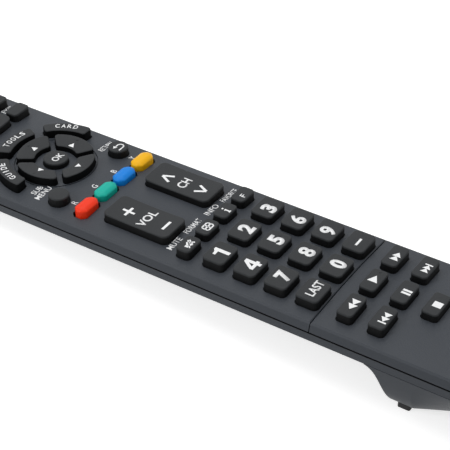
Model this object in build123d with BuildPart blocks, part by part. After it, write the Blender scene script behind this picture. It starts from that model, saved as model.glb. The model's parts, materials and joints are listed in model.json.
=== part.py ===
from build123d import *
from dataclasses import dataclass
from math import atan2, degrees, sqrt
from typing import Callable
import os

os.makedirs("parts", exist_ok=True)

# A hand-held remote control, lying on its back: keys up, front end towards +Y.
# Sizes are in millimetres. The origin is at the middle of the footprint, on the table.
# A depth is counted downwards from the crown of the face, and a run along Y from the seam.

# Case shell
CASE_WIDTH = 47.8
SIDE_DRAFT = 0.9
CROWN_RADIUS = 259.0
CORNER_RADIUS = 7.0
END_BOW = 1.0
SKIN_DEPTH = 4.0
SHADOW_GAP = 0.5
BAND_HEIGHT = 2.65
BELLY_DROP = 5.05
BELLY_INSET = 6.2
SEAM_GAP = 0.3
FACE_CHAMFER = 0.5
SEAM_CHAMFER = 0.25

# Walls, lips and inner levels
CEILING_DEPTH = 2.6
LIP_SEAT_DEPTH = 3.2
CASE_WALL = 1.9
LIP_WALL = 0.9
LIP_CLEARANCE = 0.1
BELLY_WALL = 1.5
COVER_WALL = 1.2
COVER_GAP = 0.2
COVER_SPLIT_GAP = 0.3
DECK_SKIN = 0.6
DECK_SET_IN = 0.6
RIB_WALL = 1.2
OVERRUN = 1.0

# Keys in general
KEY_PROUD = 2.75
KEY_CLEARANCE = 0.25
KEY_BEVEL = 0.35
FLANGE_THICKNESS = 0.65
FLANGE_GAP = 0.15
FLANGE_WIDTH = 0.5
KEY_TRAVEL = 0.8
PAD_CLEARANCE = 0.1
CONTACT_PAD_PROUD = 0.15
CONTACT_PAD_SIZE = 3.0

# Number keys, four rows of three
NUMBER_SIDE = 5.38
NUMBER_LENGTH = 7.52
NUMBER_RADIUS = 1.5
NUMBER_GAP_X = 3.88
NUMBER_GAP_Y = 3.19
SEAM_MARGIN = 0.78

# Transport keys, behind the seam
TRANSPORT_SIDE = 5.4
TRANSPORT_LENGTH = 5.18
TRANSPORT_RADIUS = 1.2
TRANSPORT_GAP_X = 3.29
TRANSPORT_GAP_Y = 4.89
TRANSPORT_MARGIN = 5.32

# Function keys, one row of four
FUNCTION_SIDE = 4.85
FUNCTION_LENGTH = 5.0
FUNCTION_RADIUS = 1.4
FUNCTION_GAP_X = 2.43
FUNCTION_MARGIN = 4.12

# Volume and channel rockers
ROCKER_SIDE = 7.1
ROCKER_LENGTH = 24.2
ROCKER_RADIUS = 2.0
ROCKER_GAP_X = 10.4
ROCKER_MARGIN = 4.72
ROCKER_PROUD = 2.7
ROCKER_DISH = 0.4
ROCKER_PIVOT_RADIUS = 0.45

# Colour keys, one row of four with ridged tops
COLOUR_SIDE = 4.35
COLOUR_LENGTH = 5.2
COLOUR_CUT = 1.3
COLOUR_GAP_X = 0.75
COLOUR_MARGIN = 4.78
COLOUR_PROUD = 2.4
COLOUR_RISE = 0.75
COLOUR_SLOPE = 1.3
COLOUR_CLEARANCE = 0.2

# Round keys beside the pad
ROUND_RADIUS = 3.35
ROUND_SIDE = 4.7
ROUND_MARGIN = 4.3
ROUND_PROUD = 2.5

# Pad: one centre key, four arrow keys, a ring groove and three arc keys
PAD_SIDE = 4.3
PAD_RISE = 13.7
OK_PROUD = 2.1
OK_GAP = 2.9
ARROW_SPLIT = 2.1
ARROW_RADIUS = 1.2
ARROW_DISH = 0.85
GROOVE_OFFSET = 0.7
GROOVE_WIDTH = 0.4
GROOVE_DEPTH = 0.3
ARC_OFFSET = 2.25
ARC_RADIUS = 1.1
ARC_SWEEP = 51.5

# Keys at the front end
CORNER_KEY_WIDTH = 7.7
CORNER_KEY_LENGTH = 5.0
CORNER_KEY_SIDE = 4.65
CORNER_KEY_GAP_Y = 4.7
CORNER_KEY_MARGIN = 6.8
CENTRE_KEY_GAP = 1.35
CENTRE_KEY_BULGE = 0.6
CENTRE_KEY_RADIUS = 2.2
CENTRE_KEY_SET_BACK = 0.4
FRONT_MARGIN = 8.1

# Keypad sheet and circuit board
MAT_THICKNESS = 0.8
BOARD_THICKNESS = 1.2
BOARD_CLEARANCE = 0.1
SHEET_INSET = 2.6
SHEET_TAIL = 3.9
SHEET_NOSE = 6.0
POST_CLEARANCE = 0.4

# Battery cells and their bay
CELL_DIAMETER = 10.5
CELL_BODY = 43.5
CELL_NUB_LENGTH = 1.0
CELL_NUB_DIAMETER = 3.8
CELL_GAP = 0.7
CELL_CLEARANCE = 0.25
CELL_FLOOR_GAP = 1.1
COVER_SETBACK = 18.0
CELL_SETBACK = 10.0
END_ROOM = 5.5
CRADLE_WALL = 0.9
CRADLE_CLEARANCE = 0.45
CRADLE_DEPTH = 5.6
CONTACT_ROOM = 1.8
CONTACT_WIDTH = 7.0
CONTACT_THICKNESS = 0.3
CONTACT_CLEARANCE = 0.1

# Battery cover: the hump under the hand
HUMP_RUN = 10.5
TAIL_RUN = 5.0
GRIP_RUN = 15.0
GRIP_BLEND = 11.0
HINGE_RADIUS = 1.25
HINGE_PIN_RADIUS = 0.6
HINGE_PIN_CLEARANCE = 0.15
HINGE_SPREAD = 14.0
KNUCKLE_WIDTH = 4.4
KNUCKLE_CLEARANCE = 0.3
THUMB_RADIUS = 9.0
THUMB_DEPTH = 0.8
THUMB_SET_IN = 2.0

# Rubber feet
FOOT_PROUD = 0.8
FOOT_WIDTH = 4.4
FOOT_LENGTH = 4.0
FOOT_SIDE = 5.9
FOOT_RUN = 29.8
FOOT_ROOT = 3.0
FOOT_RADIUS = 0.6

# Screws and their bosses
SCREW_HEAD_RADIUS = 1.5
SCREW_HEAD_HEIGHT = 1.0
SCREW_RADIUS = 0.75
SCREW_LENGTH = 6.0
SCREW_CLEARANCE = 0.15
BOSS_RADIUS = 2.6
POST_RADIUS = 1.9
SCREW_SEAT_DEPTH = 9.2
FRONT_SCREW_SIDE = 9.9
FRONT_SCREW_DROP = 5.4
REAR_SCREW_SIDE = 6.9
REAR_SCREW_RUN = 45.0

# Infrared window, diode and board components
WINDOW_WIDTH = 18.0
WINDOW_SILL = 0.15
WINDOW_CLEARANCE = 0.1
WINDOW_REACH = 4.5
DIODE_RADIUS = 1.5
DIODE_COLLAR = 1.8
DIODE_COLLAR_LENGTH = 1.0
DIODE_GAP = 0.6
CHIP_SIZE = 7.0
CHIP_HEIGHT = 1.0
RESONATOR_WIDTH = 6.0
RESONATOR_LENGTH = 2.4
CAPACITOR_RADIUS = 1.6
CAPACITOR_HEIGHT = 2.4
COMPONENT_SPACING = 9.0

# Shares that shape the curves of the hump: along and down from each curve's start
FRONT_CURVE_SHARES = ((0, 0), (0.57, 0.09), (0.52, 0.98), (1, 1))
TAIL_CURVE_SHARES = ((0, 0), (0.55, 0), (1, 0.45), (1, 1))
GRIP_SIDE_SHARES = ((1, 0), (0.958, 0.6), (0.916, 1), (0.724, 1))
HEEL_SIDE_SHARES = ((1, 0), (0.962, 0.27), (0.732, 1), (0.397, 1))
RIB_SHARES = (0.12, 0.38, 0.62)
CHIP_SHARE = 0.5
WEDGE_REACH_SHARE = 1.6

# Shares of the pad's room that its keys take, from the middle outwards
OK_SHARE = 0.284
ARROW_SHARE = 0.408
ARC_SHARE = 1 - OK_SHARE - ARROW_SHARE

# Widths across the case
NUMBER_WIDTH = (CASE_WIDTH - 2 * NUMBER_SIDE - 2 * NUMBER_GAP_X) / 3
TRANSPORT_WIDTH = (CASE_WIDTH - 2 * TRANSPORT_SIDE - 2 * TRANSPORT_GAP_X) / 3
FUNCTION_WIDTH = (CASE_WIDTH - 2 * FUNCTION_SIDE - 3 * FUNCTION_GAP_X) / 4
ROCKER_WIDTH = (CASE_WIDTH - 2 * ROCKER_SIDE - ROCKER_GAP_X) / 2
COLOUR_WIDTH = (CASE_WIDTH - 2 * COLOUR_SIDE - 3 * COLOUR_GAP_X) / 4
ROUND_SPREAD = CASE_WIDTH - 2 * ROUND_SIDE - 2 * ROUND_RADIUS
CORNER_KEY_SPREAD = CASE_WIDTH - 2 * CORNER_KEY_SIDE - CORNER_KEY_WIDTH
PAD_ROOM = CASE_WIDTH / 2 - PAD_SIDE - OK_GAP - ARC_OFFSET
OK_RADIUS = OK_SHARE * PAD_ROOM
ARROW_DEPTH = ARROW_SHARE * PAD_ROOM
ARC_DEPTH = ARC_SHARE * PAD_ROOM

# Derived depths
PARTING_DEPTH = SKIN_DEPTH + SHADOW_GAP
BAND_DEPTH = PARTING_DEPTH + BAND_HEIGHT
BELLY_DEPTH = BAND_DEPTH + BELLY_DROP
FLANGE_TOP_DEPTH = CEILING_DEPTH + FLANGE_GAP
FLANGE_DEPTH = FLANGE_TOP_DEPTH + FLANGE_THICKNESS
MAT_DEPTH = FLANGE_DEPTH + KEY_TRAVEL + PAD_CLEARANCE + CONTACT_PAD_PROUD
BOARD_DEPTH = MAT_DEPTH + MAT_THICKNESS
BOARD_UNDER_DEPTH = BOARD_DEPTH + BOARD_THICKNESS
DECK_DEPTH = BOARD_UNDER_DEPTH + BOARD_CLEARANCE
BAY_DEPTH = max(DECK_DEPTH, BAND_DEPTH) + DECK_SKIN
CELL_DEPTH = BAY_DEPTH + CELL_CLEARANCE + CELL_DIAMETER / 2
HUMP_DEPTH = CELL_DEPTH + CELL_DIAMETER / 2 + CELL_FLOOR_GAP + COVER_WALL
FACE_Z = HUMP_DEPTH + FOOT_PROUD
PIVOT_DEPTH = FLANGE_TOP_DEPTH + ROCKER_PIVOT_RADIUS
COVER_DEPTH = BAND_DEPTH + COVER_GAP
HINGE_DEPTH = COVER_DEPTH + HINGE_RADIUS

# Derived runs from the seam, forwards
NUMBER_PITCH_X = NUMBER_WIDTH + NUMBER_GAP_X
NUMBER_PITCH_Y = NUMBER_LENGTH + NUMBER_GAP_Y
NUMBER_RUN = SEAM_MARGIN + NUMBER_LENGTH / 2
NUMBER_TOP = NUMBER_RUN + 3 * NUMBER_PITCH_Y + NUMBER_LENGTH / 2
FUNCTION_RUN = NUMBER_TOP + FUNCTION_MARGIN + FUNCTION_LENGTH / 2
ROCKER_RUN = FUNCTION_RUN + FUNCTION_LENGTH / 2 + ROCKER_MARGIN + ROCKER_LENGTH / 2
COLOUR_RUN = ROCKER_RUN + ROCKER_LENGTH / 2 + COLOUR_MARGIN + COLOUR_LENGTH / 2
ROUND_RUN = COLOUR_RUN + COLOUR_LENGTH / 2 + ROUND_MARGIN + ROUND_RADIUS
PAD_RUN = ROUND_RUN + PAD_RISE
ARROW_INNER = OK_RADIUS + OK_GAP
ARROW_OUTER = ARROW_INNER + ARROW_DEPTH
GROOVE_RADIUS = ARROW_OUTER + GROOVE_OFFSET
ARC_INNER = ARROW_OUTER + ARC_OFFSET
ARC_OUTER = ARC_INNER + ARC_DEPTH
CORNER_KEY_RUN = PAD_RUN + ARC_OUTER + CORNER_KEY_MARGIN + CORNER_KEY_LENGTH / 2
CORNER_KEY_PITCH = CORNER_KEY_LENGTH + CORNER_KEY_GAP_Y
CORNER_KEY_TOP = CORNER_KEY_RUN + CORNER_KEY_PITCH + CORNER_KEY_LENGTH / 2
FRONT_RUN = CORNER_KEY_TOP + FRONT_MARGIN

# Derived runs from the seam, backwards
TRANSPORT_PITCH_X = TRANSPORT_WIDTH + TRANSPORT_GAP_X
TRANSPORT_PITCH_Y = TRANSPORT_LENGTH + TRANSPORT_GAP_Y
TRANSPORT_RUN = TRANSPORT_MARGIN + TRANSPORT_LENGTH / 2
CELL_FRONT_RUN = COVER_SETBACK + CELL_SETBACK
CELL_REAR_RUN = CELL_FRONT_RUN + CELL_BODY
REAR_RUN = CELL_REAR_RUN + END_ROOM
SHEET_REAR_RUN = TRANSPORT_RUN + 2 * TRANSPORT_PITCH_Y + SHEET_TAIL

# The seam's place, from the length of both halves
CASE_LENGTH = FRONT_RUN + REAR_RUN
SEAM_Y = REAR_RUN - CASE_LENGTH / 2
FRONT_Y = SEAM_Y + FRONT_RUN
REAR_Y = SEAM_Y - REAR_RUN
CELL_X = (CELL_DIAMETER + CELL_GAP) / 2
FRONT_SCREW_RUN = CORNER_KEY_RUN - CORNER_KEY_LENGTH / 2 - FRONT_SCREW_DROP
SCREW_PLACES = [
    (side * (CASE_WIDTH / 2 - margin), SEAM_Y + run)
    for margin, run in ((FRONT_SCREW_SIDE, FRONT_SCREW_RUN), (REAR_SCREW_SIDE, -REAR_SCREW_RUN))
    for side in (-1, 1)
]


def level(depth):
    """The height above the table of a depth under the crown of the face."""
    return FACE_Z - depth


def crown_drop(x):
    """How far the crowned face has fallen at a distance from its middle line."""
    return CROWN_RADIUS - sqrt(CROWN_RADIUS**2 - x**2)


def case_outline(depth, inset):
    """The plan of the case at a depth, drawn in by an inset: straight sides, bowed ends."""
    half = CASE_WIDTH / 2 - inset
    front = FRONT_Y - END_BOW - inset
    rear = REAR_Y + END_BOW + inset
    radius = max(CORNER_RADIUS - inset, LIP_WALL)
    with BuildSketch(Plane.XY.offset(level(depth))) as outline:
        with BuildLine():
            ThreePointArc((-half, rear), (0, rear - END_BOW), (half, rear))
            Line((half, rear), (half, front))
            ThreePointArc((half, front), (0, front + END_BOW), (-half, front))
            Line((-half, front), (-half, rear))
        make_face()
        fillet(outline.vertices(), radius)
    return outline.sketch


def span_box(depth_top, depth_bottom, run_from, run_to, width=CASE_WIDTH):
    """A plain box across the case between two depths and two runs from the seam."""
    middle = SEAM_Y + (run_from + run_to) / 2
    with BuildPart() as box:
        with BuildSketch(Plane.XY.offset(level(depth_bottom))):
            with Locations((0, middle)):
                Rectangle(width, abs(run_to - run_from))
        extrude(amount=depth_bottom - depth_top)
    return box.part


def rounded_outline(depth, x, run, width, length, radius, extra):
    """A rounded rectangle at a run from the seam, grown all round by an extra."""
    with BuildSketch(Plane.XY.offset(level(depth))) as outline:
        with Locations((x, SEAM_Y + run)):
            RectangleRounded(width + 2 * extra, length + 2 * extra, radius + extra)
    return outline.sketch


def round_outline(depth, x, run, radius, extra):
    """A circle at a run from the seam, grown by an extra."""
    with BuildSketch(Plane.XY.offset(level(depth))) as outline:
        with Locations((x, SEAM_Y + run)):
            Circle(radius + extra)
    return outline.sketch


def colour_outline(depth, x, extra):
    """A colour key's plan: a rectangle with its corners cut off."""
    with BuildSketch(Plane.XY.offset(level(depth))) as outline:
        with Locations((x, SEAM_Y + COLOUR_RUN)):
            Rectangle(COLOUR_WIDTH + 2 * extra, COLOUR_LENGTH + 2 * extra)
        chamfer(outline.vertices(), COLOUR_CUT)
    return outline.sketch


def arrow_outline(depth, angle, extra):
    """An arrow key's plan: a quarter of a ring with parallel splits beside it."""
    outer = ARROW_OUTER + extra
    apex = (ARROW_SPLIT / 2 - extra) * sqrt(2)
    with BuildSketch(Plane.XY.offset(level(depth))) as outline:
        with Locations(Location((0, SEAM_Y + PAD_RUN, 0), (0, 0, angle))):
            Circle(outer)
            Circle(ARROW_INNER - extra, mode=Mode.SUBTRACT)
            Polygon((apex, 0), (apex + outer, outer), (apex + outer, -outer), mode=Mode.INTERSECT)
        fillet(outline.vertices(), ARROW_RADIUS)
    return outline.sketch


def arc_outline(depth, middle_angle, extra):
    """An arc key's plan: a stretch of the ring round the pad."""
    reach = WEDGE_REACH_SHARE * (ARC_OUTER + extra)
    corner = Vector(reach, 0).rotate(Axis.Z, ARC_SWEEP / 2 + degrees(extra / ARC_INNER))
    with BuildSketch(Plane.XY.offset(level(depth))) as outline:
        with Locations(Location((0, SEAM_Y + PAD_RUN, 0), (0, 0, middle_angle))):
            Circle(ARC_OUTER + extra)
            Circle(ARC_INNER - extra, mode=Mode.SUBTRACT)
            Polygon((0, 0), (corner.X, -corner.Y), (corner.X, corner.Y), mode=Mode.INTERSECT)
        fillet(outline.vertices(), ARC_RADIUS)
    return outline.sketch


def centre_outline(depth, extra):
    """The centre key's plan: its front and rear edges bulge outwards."""
    half = (CORNER_KEY_SPREAD - CORNER_KEY_WIDTH) / 2 - CENTRE_KEY_GAP + extra
    rear = SEAM_Y + CORNER_KEY_RUN - CORNER_KEY_LENGTH / 2 + CENTRE_KEY_SET_BACK - extra
    front = SEAM_Y + CORNER_KEY_TOP - CENTRE_KEY_SET_BACK + extra
    with BuildSketch(Plane.XY.offset(level(depth))) as outline:
        with BuildLine():
            ThreePointArc((-half, front), (0, front + CENTRE_KEY_BULGE), (half, front))
            Line((half, front), (half, rear))
            ThreePointArc((half, rear), (0, rear - CENTRE_KEY_BULGE), (-half, rear))
            Line((-half, rear), (-half, front))
        make_face()
        fillet(outline.vertices(), CENTRE_KEY_RADIUS + extra)
    return outline.sketch


@dataclass
class Key:
    """One key: its name, its plan at a depth with an extra, its place, height, kind and size."""

    name: str
    plan: Callable
    x: float
    run: float
    proud: float = KEY_PROUD
    clearance: float = KEY_CLEARANCE
    kind: str = "plain"
    angle: float = 0.0
    size: tuple = ()


def block_key(name, x, run, width, length, radius, **details):
    """A key with a rounded rectangle for its plan."""
    plan = lambda depth, extra: rounded_outline(depth, x, run, width, length, radius, extra)
    return Key(name, plan, x, run, size=(width, length), **details)


def key_table():
    """Every key of the remote, from the rear end to the front end."""
    keys = []
    transport = (("rewind", "play", "fast_forward"), ("previous", "pause", "next"), (None, "stop", None))
    for row, names in enumerate(transport):
        for column, name in enumerate(names):
            if name:
                x = (column - 1) * TRANSPORT_PITCH_X
                run = -TRANSPORT_RUN - row * TRANSPORT_PITCH_Y
                keys.append(
                    block_key(f"key_{name}", x, run, TRANSPORT_WIDTH, TRANSPORT_LENGTH, TRANSPORT_RADIUS)
                )
    numbers = (("last", "0", "dash"), ("7", "8", "9"), ("4", "5", "6"), ("1", "2", "3"))
    for row, names in enumerate(numbers):
        for column, name in enumerate(names):
            x = (column - 1) * NUMBER_PITCH_X
            run = NUMBER_RUN + row * NUMBER_PITCH_Y
            keys.append(block_key(f"key_{name}", x, run, NUMBER_WIDTH, NUMBER_LENGTH, NUMBER_RADIUS))
    for column, name in enumerate(("mute", "format", "info", "favorite")):
        x = (column - 3 / 2) * (FUNCTION_WIDTH + FUNCTION_GAP_X)
        keys.append(
            block_key(f"key_{name}", x, FUNCTION_RUN, FUNCTION_WIDTH, FUNCTION_LENGTH, FUNCTION_RADIUS)
        )
    for side, name in ((-1, "volume"), (1, "channel")):
        x = side * (ROCKER_WIDTH + ROCKER_GAP_X) / 2
        keys.append(
            block_key(
                f"rocker_{name}", x, ROCKER_RUN, ROCKER_WIDTH, ROCKER_LENGTH, ROCKER_RADIUS,
                proud=ROCKER_PROUD, kind="rocker",
            )
        )
    for column, name in enumerate(("red", "green", "blue", "yellow")):
        x = (column - 3 / 2) * (COLOUR_WIDTH + COLOUR_GAP_X)
        plan = lambda depth, extra, x=x: colour_outline(depth, x, extra)
        keys.append(Key(f"key_{name}", plan, x, COLOUR_RUN, COLOUR_PROUD, COLOUR_CLEARANCE, "ridged"))
    for side, name in ((-1, "sub_menu"), (1, "return")):
        x = side * ROUND_SPREAD / 2
        plan = lambda depth, extra, x=x: round_outline(depth, x, ROUND_RUN, ROUND_RADIUS, extra)
        keys.append(Key(f"key_{name}", plan, x, ROUND_RUN, ROUND_PROUD))
    plan = lambda depth, extra: round_outline(depth, 0, PAD_RUN, OK_RADIUS, extra)
    keys.append(Key("key_ok", plan, 0, PAD_RUN, OK_PROUD))
    for turn, name in enumerate(("right", "up", "left", "down")):
        plan = lambda depth, extra, turn=turn: arrow_outline(depth, 90 * turn, extra)
        place = Vector((ARROW_INNER + ARROW_OUTER) / 2, 0).rotate(Axis.Z, 90 * turn)
        keys.append(Key(f"key_{name}", plan, place.X, PAD_RUN + place.Y, kind="arrow", angle=90 * turn))
    for turn, name in enumerate(("right", "front", "left")):
        middle = 90 * turn + (1 - turn) * ARC_SWEEP / 2
        plan = lambda depth, extra, middle=middle: arc_outline(depth, middle, extra)
        place = Vector((ARC_INNER + ARC_OUTER) / 2, 0).rotate(Axis.Z, middle)
        keys.append(Key(f"key_arc_{name}", plan, place.X, PAD_RUN + place.Y, kind="arc", angle=middle))
    corner = (("menu", -1, 0), ("exit", 1, 0), ("power", -1, 1), ("input", 1, 1))
    for name, side, row in corner:
        x = side * CORNER_KEY_SPREAD / 2
        run = CORNER_KEY_RUN + row * CORNER_KEY_PITCH
        keys.append(
            block_key(f"key_{name}", x, run, CORNER_KEY_WIDTH, CORNER_KEY_LENGTH, FUNCTION_RADIUS)
        )
    centre_run = (CORNER_KEY_RUN + CORNER_KEY_RUN + CORNER_KEY_PITCH) / 2
    keys.append(Key("key_centre", centre_outline, 0, centre_run, kind="centre"))
    return keys


def dish_profile(key):
    """The side view of a rocker: its top is a shallow arc between two ends."""
    top = level(-key.proud)
    foot = level(FLANGE_DEPTH)
    rear = SEAM_Y + key.run - ROCKER_LENGTH / 2
    front = SEAM_Y + key.run + ROCKER_LENGTH / 2
    with BuildSketch(Plane.YZ) as profile:
        with BuildLine():
            ThreePointArc((rear, top), (SEAM_Y + key.run, top - ROCKER_DISH), (front, top))
            Polyline((front, top), (front, foot), (rear, foot), (rear, top))
        make_face()
    return profile.sketch


def flange_outline(key):
    """The plan of the flange that keeps a key in, where its neighbours leave room for one."""
    place = (key.x, SEAM_Y + key.run)
    with BuildSketch(Plane.XY.offset(level(FLANGE_DEPTH))) as outline:
        if key.kind == "ridged":
            with Locations(place):
                Rectangle(COLOUR_WIDTH - 2 * COLOUR_CUT, COLOUR_LENGTH + 2 * FLANGE_WIDTH)
        elif key.kind == "centre":
            length = CORNER_KEY_PITCH + CORNER_KEY_LENGTH - 2 * CENTRE_KEY_SET_BACK
            with Locations(place):
                Rectangle(CORNER_KEY_WIDTH, length + 2 * CENTRE_KEY_BULGE + 2 * FLANGE_WIDTH)
        elif key.kind == "arrow":
            tab = ARROW_RADIUS + FLANGE_WIDTH
            with Locations(Location((0, SEAM_Y + PAD_RUN, 0), (0, 0, key.angle))):
                with Locations((ARROW_OUTER - ARROW_RADIUS, 0)):
                    Rectangle(tab, ARROW_DEPTH, align=(Align.MIN, Align.CENTER))
        elif key.size:
            with Locations(place):
                Rectangle(key.size[0] + 2 * FLANGE_WIDTH, key.size[1] + 2 * FLANGE_WIDTH)
        else:
            add(key.plan(FLANGE_DEPTH, FLANGE_WIDTH))
    return outline.sketch


def make_key(key):
    """A key: its cap through the face, and the flange or pivot that keeps it in."""
    with BuildPart() as cap:
        extrude(key.plan(FLANGE_DEPTH, 0), amount=FLANGE_DEPTH + key.proud)
        if key.kind == "arrow":
            with Locations((0, SEAM_Y + PAD_RUN, level(-key.proud))):
                Cone(0, 2 * ARROW_OUTER, 2 * ARROW_DISH * ARROW_OUTER / ARROW_DEPTH, mode=Mode.SUBTRACT)
        top = cap.faces().sort_by(Axis.Z)[-1]
        if key.kind == "rocker":
            extrude(dish_profile(key), amount=CASE_WIDTH, both=True, mode=Mode.INTERSECT)
            with Locations(Location((key.x, SEAM_Y + key.run, level(PIVOT_DEPTH)), (0, 90, 0))):
                Cylinder(ROCKER_PIVOT_RADIUS, ROCKER_WIDTH + 2 * FLANGE_WIDTH)
        elif key.kind == "ridged":
            chamfer(top.edges(), COLOUR_SLOPE, COLOUR_RISE, reference=top)
            extrude(flange_outline(key), amount=FLANGE_THICKNESS)
        else:
            chamfer(top.edges(), KEY_BEVEL)
            extrude(flange_outline(key), amount=FLANGE_THICKNESS)
    return cap.part


def make_skin():
    """The whole upper skin: drafted sides, a crowned face and an open underside."""
    with BuildPart() as skin:
        extrude(case_outline(SKIN_DEPTH, 0), amount=SKIN_DEPTH, taper=degrees(atan2(SIDE_DRAFT, SKIN_DEPTH)))
        with BuildSketch(Plane.XZ):
            with BuildLine():
                edge_height = level(crown_drop(CASE_WIDTH / 2))
                crown = ThreePointArc(
                    (-CASE_WIDTH / 2, edge_height), (0, level(0)), (CASE_WIDTH / 2, edge_height)
                )
                Polyline(
                    crown @ 1,
                    (CASE_WIDTH / 2, level(SKIN_DEPTH)),
                    (-CASE_WIDTH / 2, level(SKIN_DEPTH)),
                    crown @ 0,
                )
            make_face()
        extrude(amount=CASE_LENGTH, both=True, mode=Mode.INTERSECT)
        chamfer(skin.faces().sort_by(Axis.Z)[-1].edges(), FACE_CHAMFER)
        with BuildSketch(Plane.XY.offset(level(crown_drop(GROOVE_RADIUS) + GROOVE_DEPTH))):
            with Locations((0, SEAM_Y + PAD_RUN)):
                Circle(GROOVE_RADIUS + GROOVE_WIDTH / 2)
                Circle(GROOVE_RADIUS - GROOVE_WIDTH / 2, mode=Mode.SUBTRACT)
        extrude(amount=SKIN_DEPTH, mode=Mode.SUBTRACT)
        ceiling_room = LIP_SEAT_DEPTH - CEILING_DEPTH
        extrude(case_outline(LIP_SEAT_DEPTH, CASE_WALL), amount=ceiling_room, mode=Mode.SUBTRACT)
        extrude(
            case_outline(SKIN_DEPTH, CASE_WALL - LIP_WALL - LIP_CLEARANCE),
            amount=SKIN_DEPTH - LIP_SEAT_DEPTH,
            mode=Mode.SUBTRACT,
        )
    return skin.part


def make_faceplate(skin, run_from, run_to, keys, screws):
    """One faceplate: its stretch of the skin, its key apertures and its screw posts."""
    with BuildPart() as plate:
        add(skin)
        add(span_box(-OVERRUN, SKIN_DEPTH, run_from, run_to, 2 * CASE_WIDTH), mode=Mode.INTERSECT)
        seam_edges = plate.edges().filter_by_position(Axis.Y, SEAM_Y - SEAM_GAP, SEAM_Y + SEAM_GAP)
        chamfer(seam_edges.sort_by(Axis.Z)[-1], SEAM_CHAMFER)
        for key in keys:
            aperture = key.plan(CEILING_DEPTH, key.clearance)
            extrude(aperture, amount=CEILING_DEPTH + OVERRUN, mode=Mode.SUBTRACT)
        with BuildSketch(Plane.XY.offset(level(CEILING_DEPTH))):
            with Locations(*screws):
                Circle(POST_RADIUS)
        extrude(amount=CEILING_DEPTH - BOARD_UNDER_DEPTH)
        with BuildSketch(Plane.XY.offset(level(BOARD_UNDER_DEPTH))):
            with Locations(*screws):
                Circle(SCREW_RADIUS)
        extrude(amount=BOARD_UNDER_DEPTH - CEILING_DEPTH, mode=Mode.SUBTRACT)
    return plate.part


def belly(wall):
    """The shallow bowl under the band, drawn in by a wall."""
    with BuildPart() as bowl:
        rim = case_outline(BAND_DEPTH, wall)
        loft([rim, case_outline(BELLY_DEPTH - wall, BELLY_INSET + wall)], ruled=True)
    return bowl.part


def stretch(part, depth_top, depth_bottom, run_from, run_to):
    """The stretch of a part between two depths and two runs from the seam."""
    with BuildPart() as piece:
        add(part)
        add(span_box(depth_top, depth_bottom, run_from, run_to, 2 * CASE_WIDTH), mode=Mode.INTERSECT)
    return piece.part


def hump_section(run, shares, wall):
    """The hump's cross-section at a run behind the seam: flat top, curved sides, flat bottom."""
    half = CASE_WIDTH / 2 - wall
    top = level(BAND_DEPTH)
    drop = HUMP_DEPTH - BAND_DEPTH - wall
    right = [(half * across, top - drop * down) for across, down in shares]
    left = [(-x, z) for x, z in right]
    with BuildSketch(Plane.XZ.offset(run - SEAM_Y)) as section:
        with BuildLine():
            Line(left[0], right[0])
            Bezier(*right)
            Line(right[-1], left[-1])
            Bezier(*reversed(left))
        make_face()
    return section.sketch


def hump_block(wall):
    """The hump's full-height block: two even stretches and a blend between them."""
    grip_run = COVER_SETBACK + GRIP_RUN
    heel_run = grip_run + GRIP_BLEND
    grip = hump_section(grip_run, GRIP_SIDE_SHARES, wall)
    heel = hump_section(heel_run, HEEL_SIDE_SHARES, wall)
    with BuildPart() as block:
        extrude(grip, amount=-GRIP_RUN - OVERRUN)
        extrude(heel, amount=REAR_RUN - heel_run + OVERRUN)
        loft([grip, heel])
    return block.part


def hump(wall):
    """The deep hump under the hand, drawn in by a wall: a block cut by its side view and plan."""
    front = SEAM_Y - COVER_SETBACK - wall
    rear = REAR_Y + wall
    top = level(COVER_DEPTH)
    bottom = level(HUMP_DEPTH - wall)
    hinge = level(HINGE_DEPTH)
    front_curve = [
        (front - HUMP_RUN * along, top - (top - bottom) * down) for along, down in FRONT_CURVE_SHARES
    ]
    tail_curve = [
        (rear + TAIL_RUN * (1 - along), bottom + (hinge - bottom) * up) for along, up in TAIL_CURVE_SHARES
    ]
    with BuildPart() as shape:
        add(hump_block(wall))
        with BuildSketch(Plane.YZ):
            with BuildLine():
                Bezier(*front_curve)
                Line(front_curve[-1], tail_curve[0])
                Bezier(*tail_curve)
                if wall:
                    Polyline(tail_curve[-1], (rear, top + OVERRUN), (front, top + OVERRUN), front_curve[0])
                else:
                    rim = RadiusArc(tail_curve[-1], (rear + HINGE_RADIUS, top), HINGE_RADIUS)
                    Line(rim @ 1, front_curve[0])
            make_face()
        extrude(amount=CASE_WIDTH, both=True, mode=Mode.INTERSECT)
        extrude(case_outline(HUMP_DEPTH, wall), amount=HUMP_DEPTH, mode=Mode.INTERSECT)
    return shape.part


def cover_body(wall):
    """The battery cover's outer or inner form: the hump, and the end of the bowl before it."""
    with BuildPart() as body:
        add(stretch(belly(wall), COVER_DEPTH, HUMP_DEPTH, -COVER_SETBACK - HUMP_RUN, -COVER_SETBACK - wall))
        add(hump(wall))
    return body.part


def hinge_places(turn):
    """Where the two hinge knuckles stand along the hinge axis, turned onto it."""
    places = [(side * HINGE_SPREAD / 2, REAR_Y + HINGE_RADIUS, level(HINGE_DEPTH)) for side in (-1, 1)]
    return [Location(place, turn) for place in places]


def make_cover():
    """The battery cover: a thin hump with hinge pins in two notches of its rear rim."""
    notch_width = KNUCKLE_WIDTH + 2 * KNUCKLE_CLEARANCE
    with BuildPart() as cover:
        add(cover_body(0))
        add(cover_body(COVER_WALL), mode=Mode.SUBTRACT)
        with Locations(*hinge_places((0, 90, 0))):
            Cylinder(HINGE_RADIUS + KNUCKLE_CLEARANCE, notch_width, mode=Mode.SUBTRACT)
            Cylinder(HINGE_PIN_RADIUS, notch_width + 2 * HINGE_PIN_RADIUS)
    return cover.part


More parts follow.
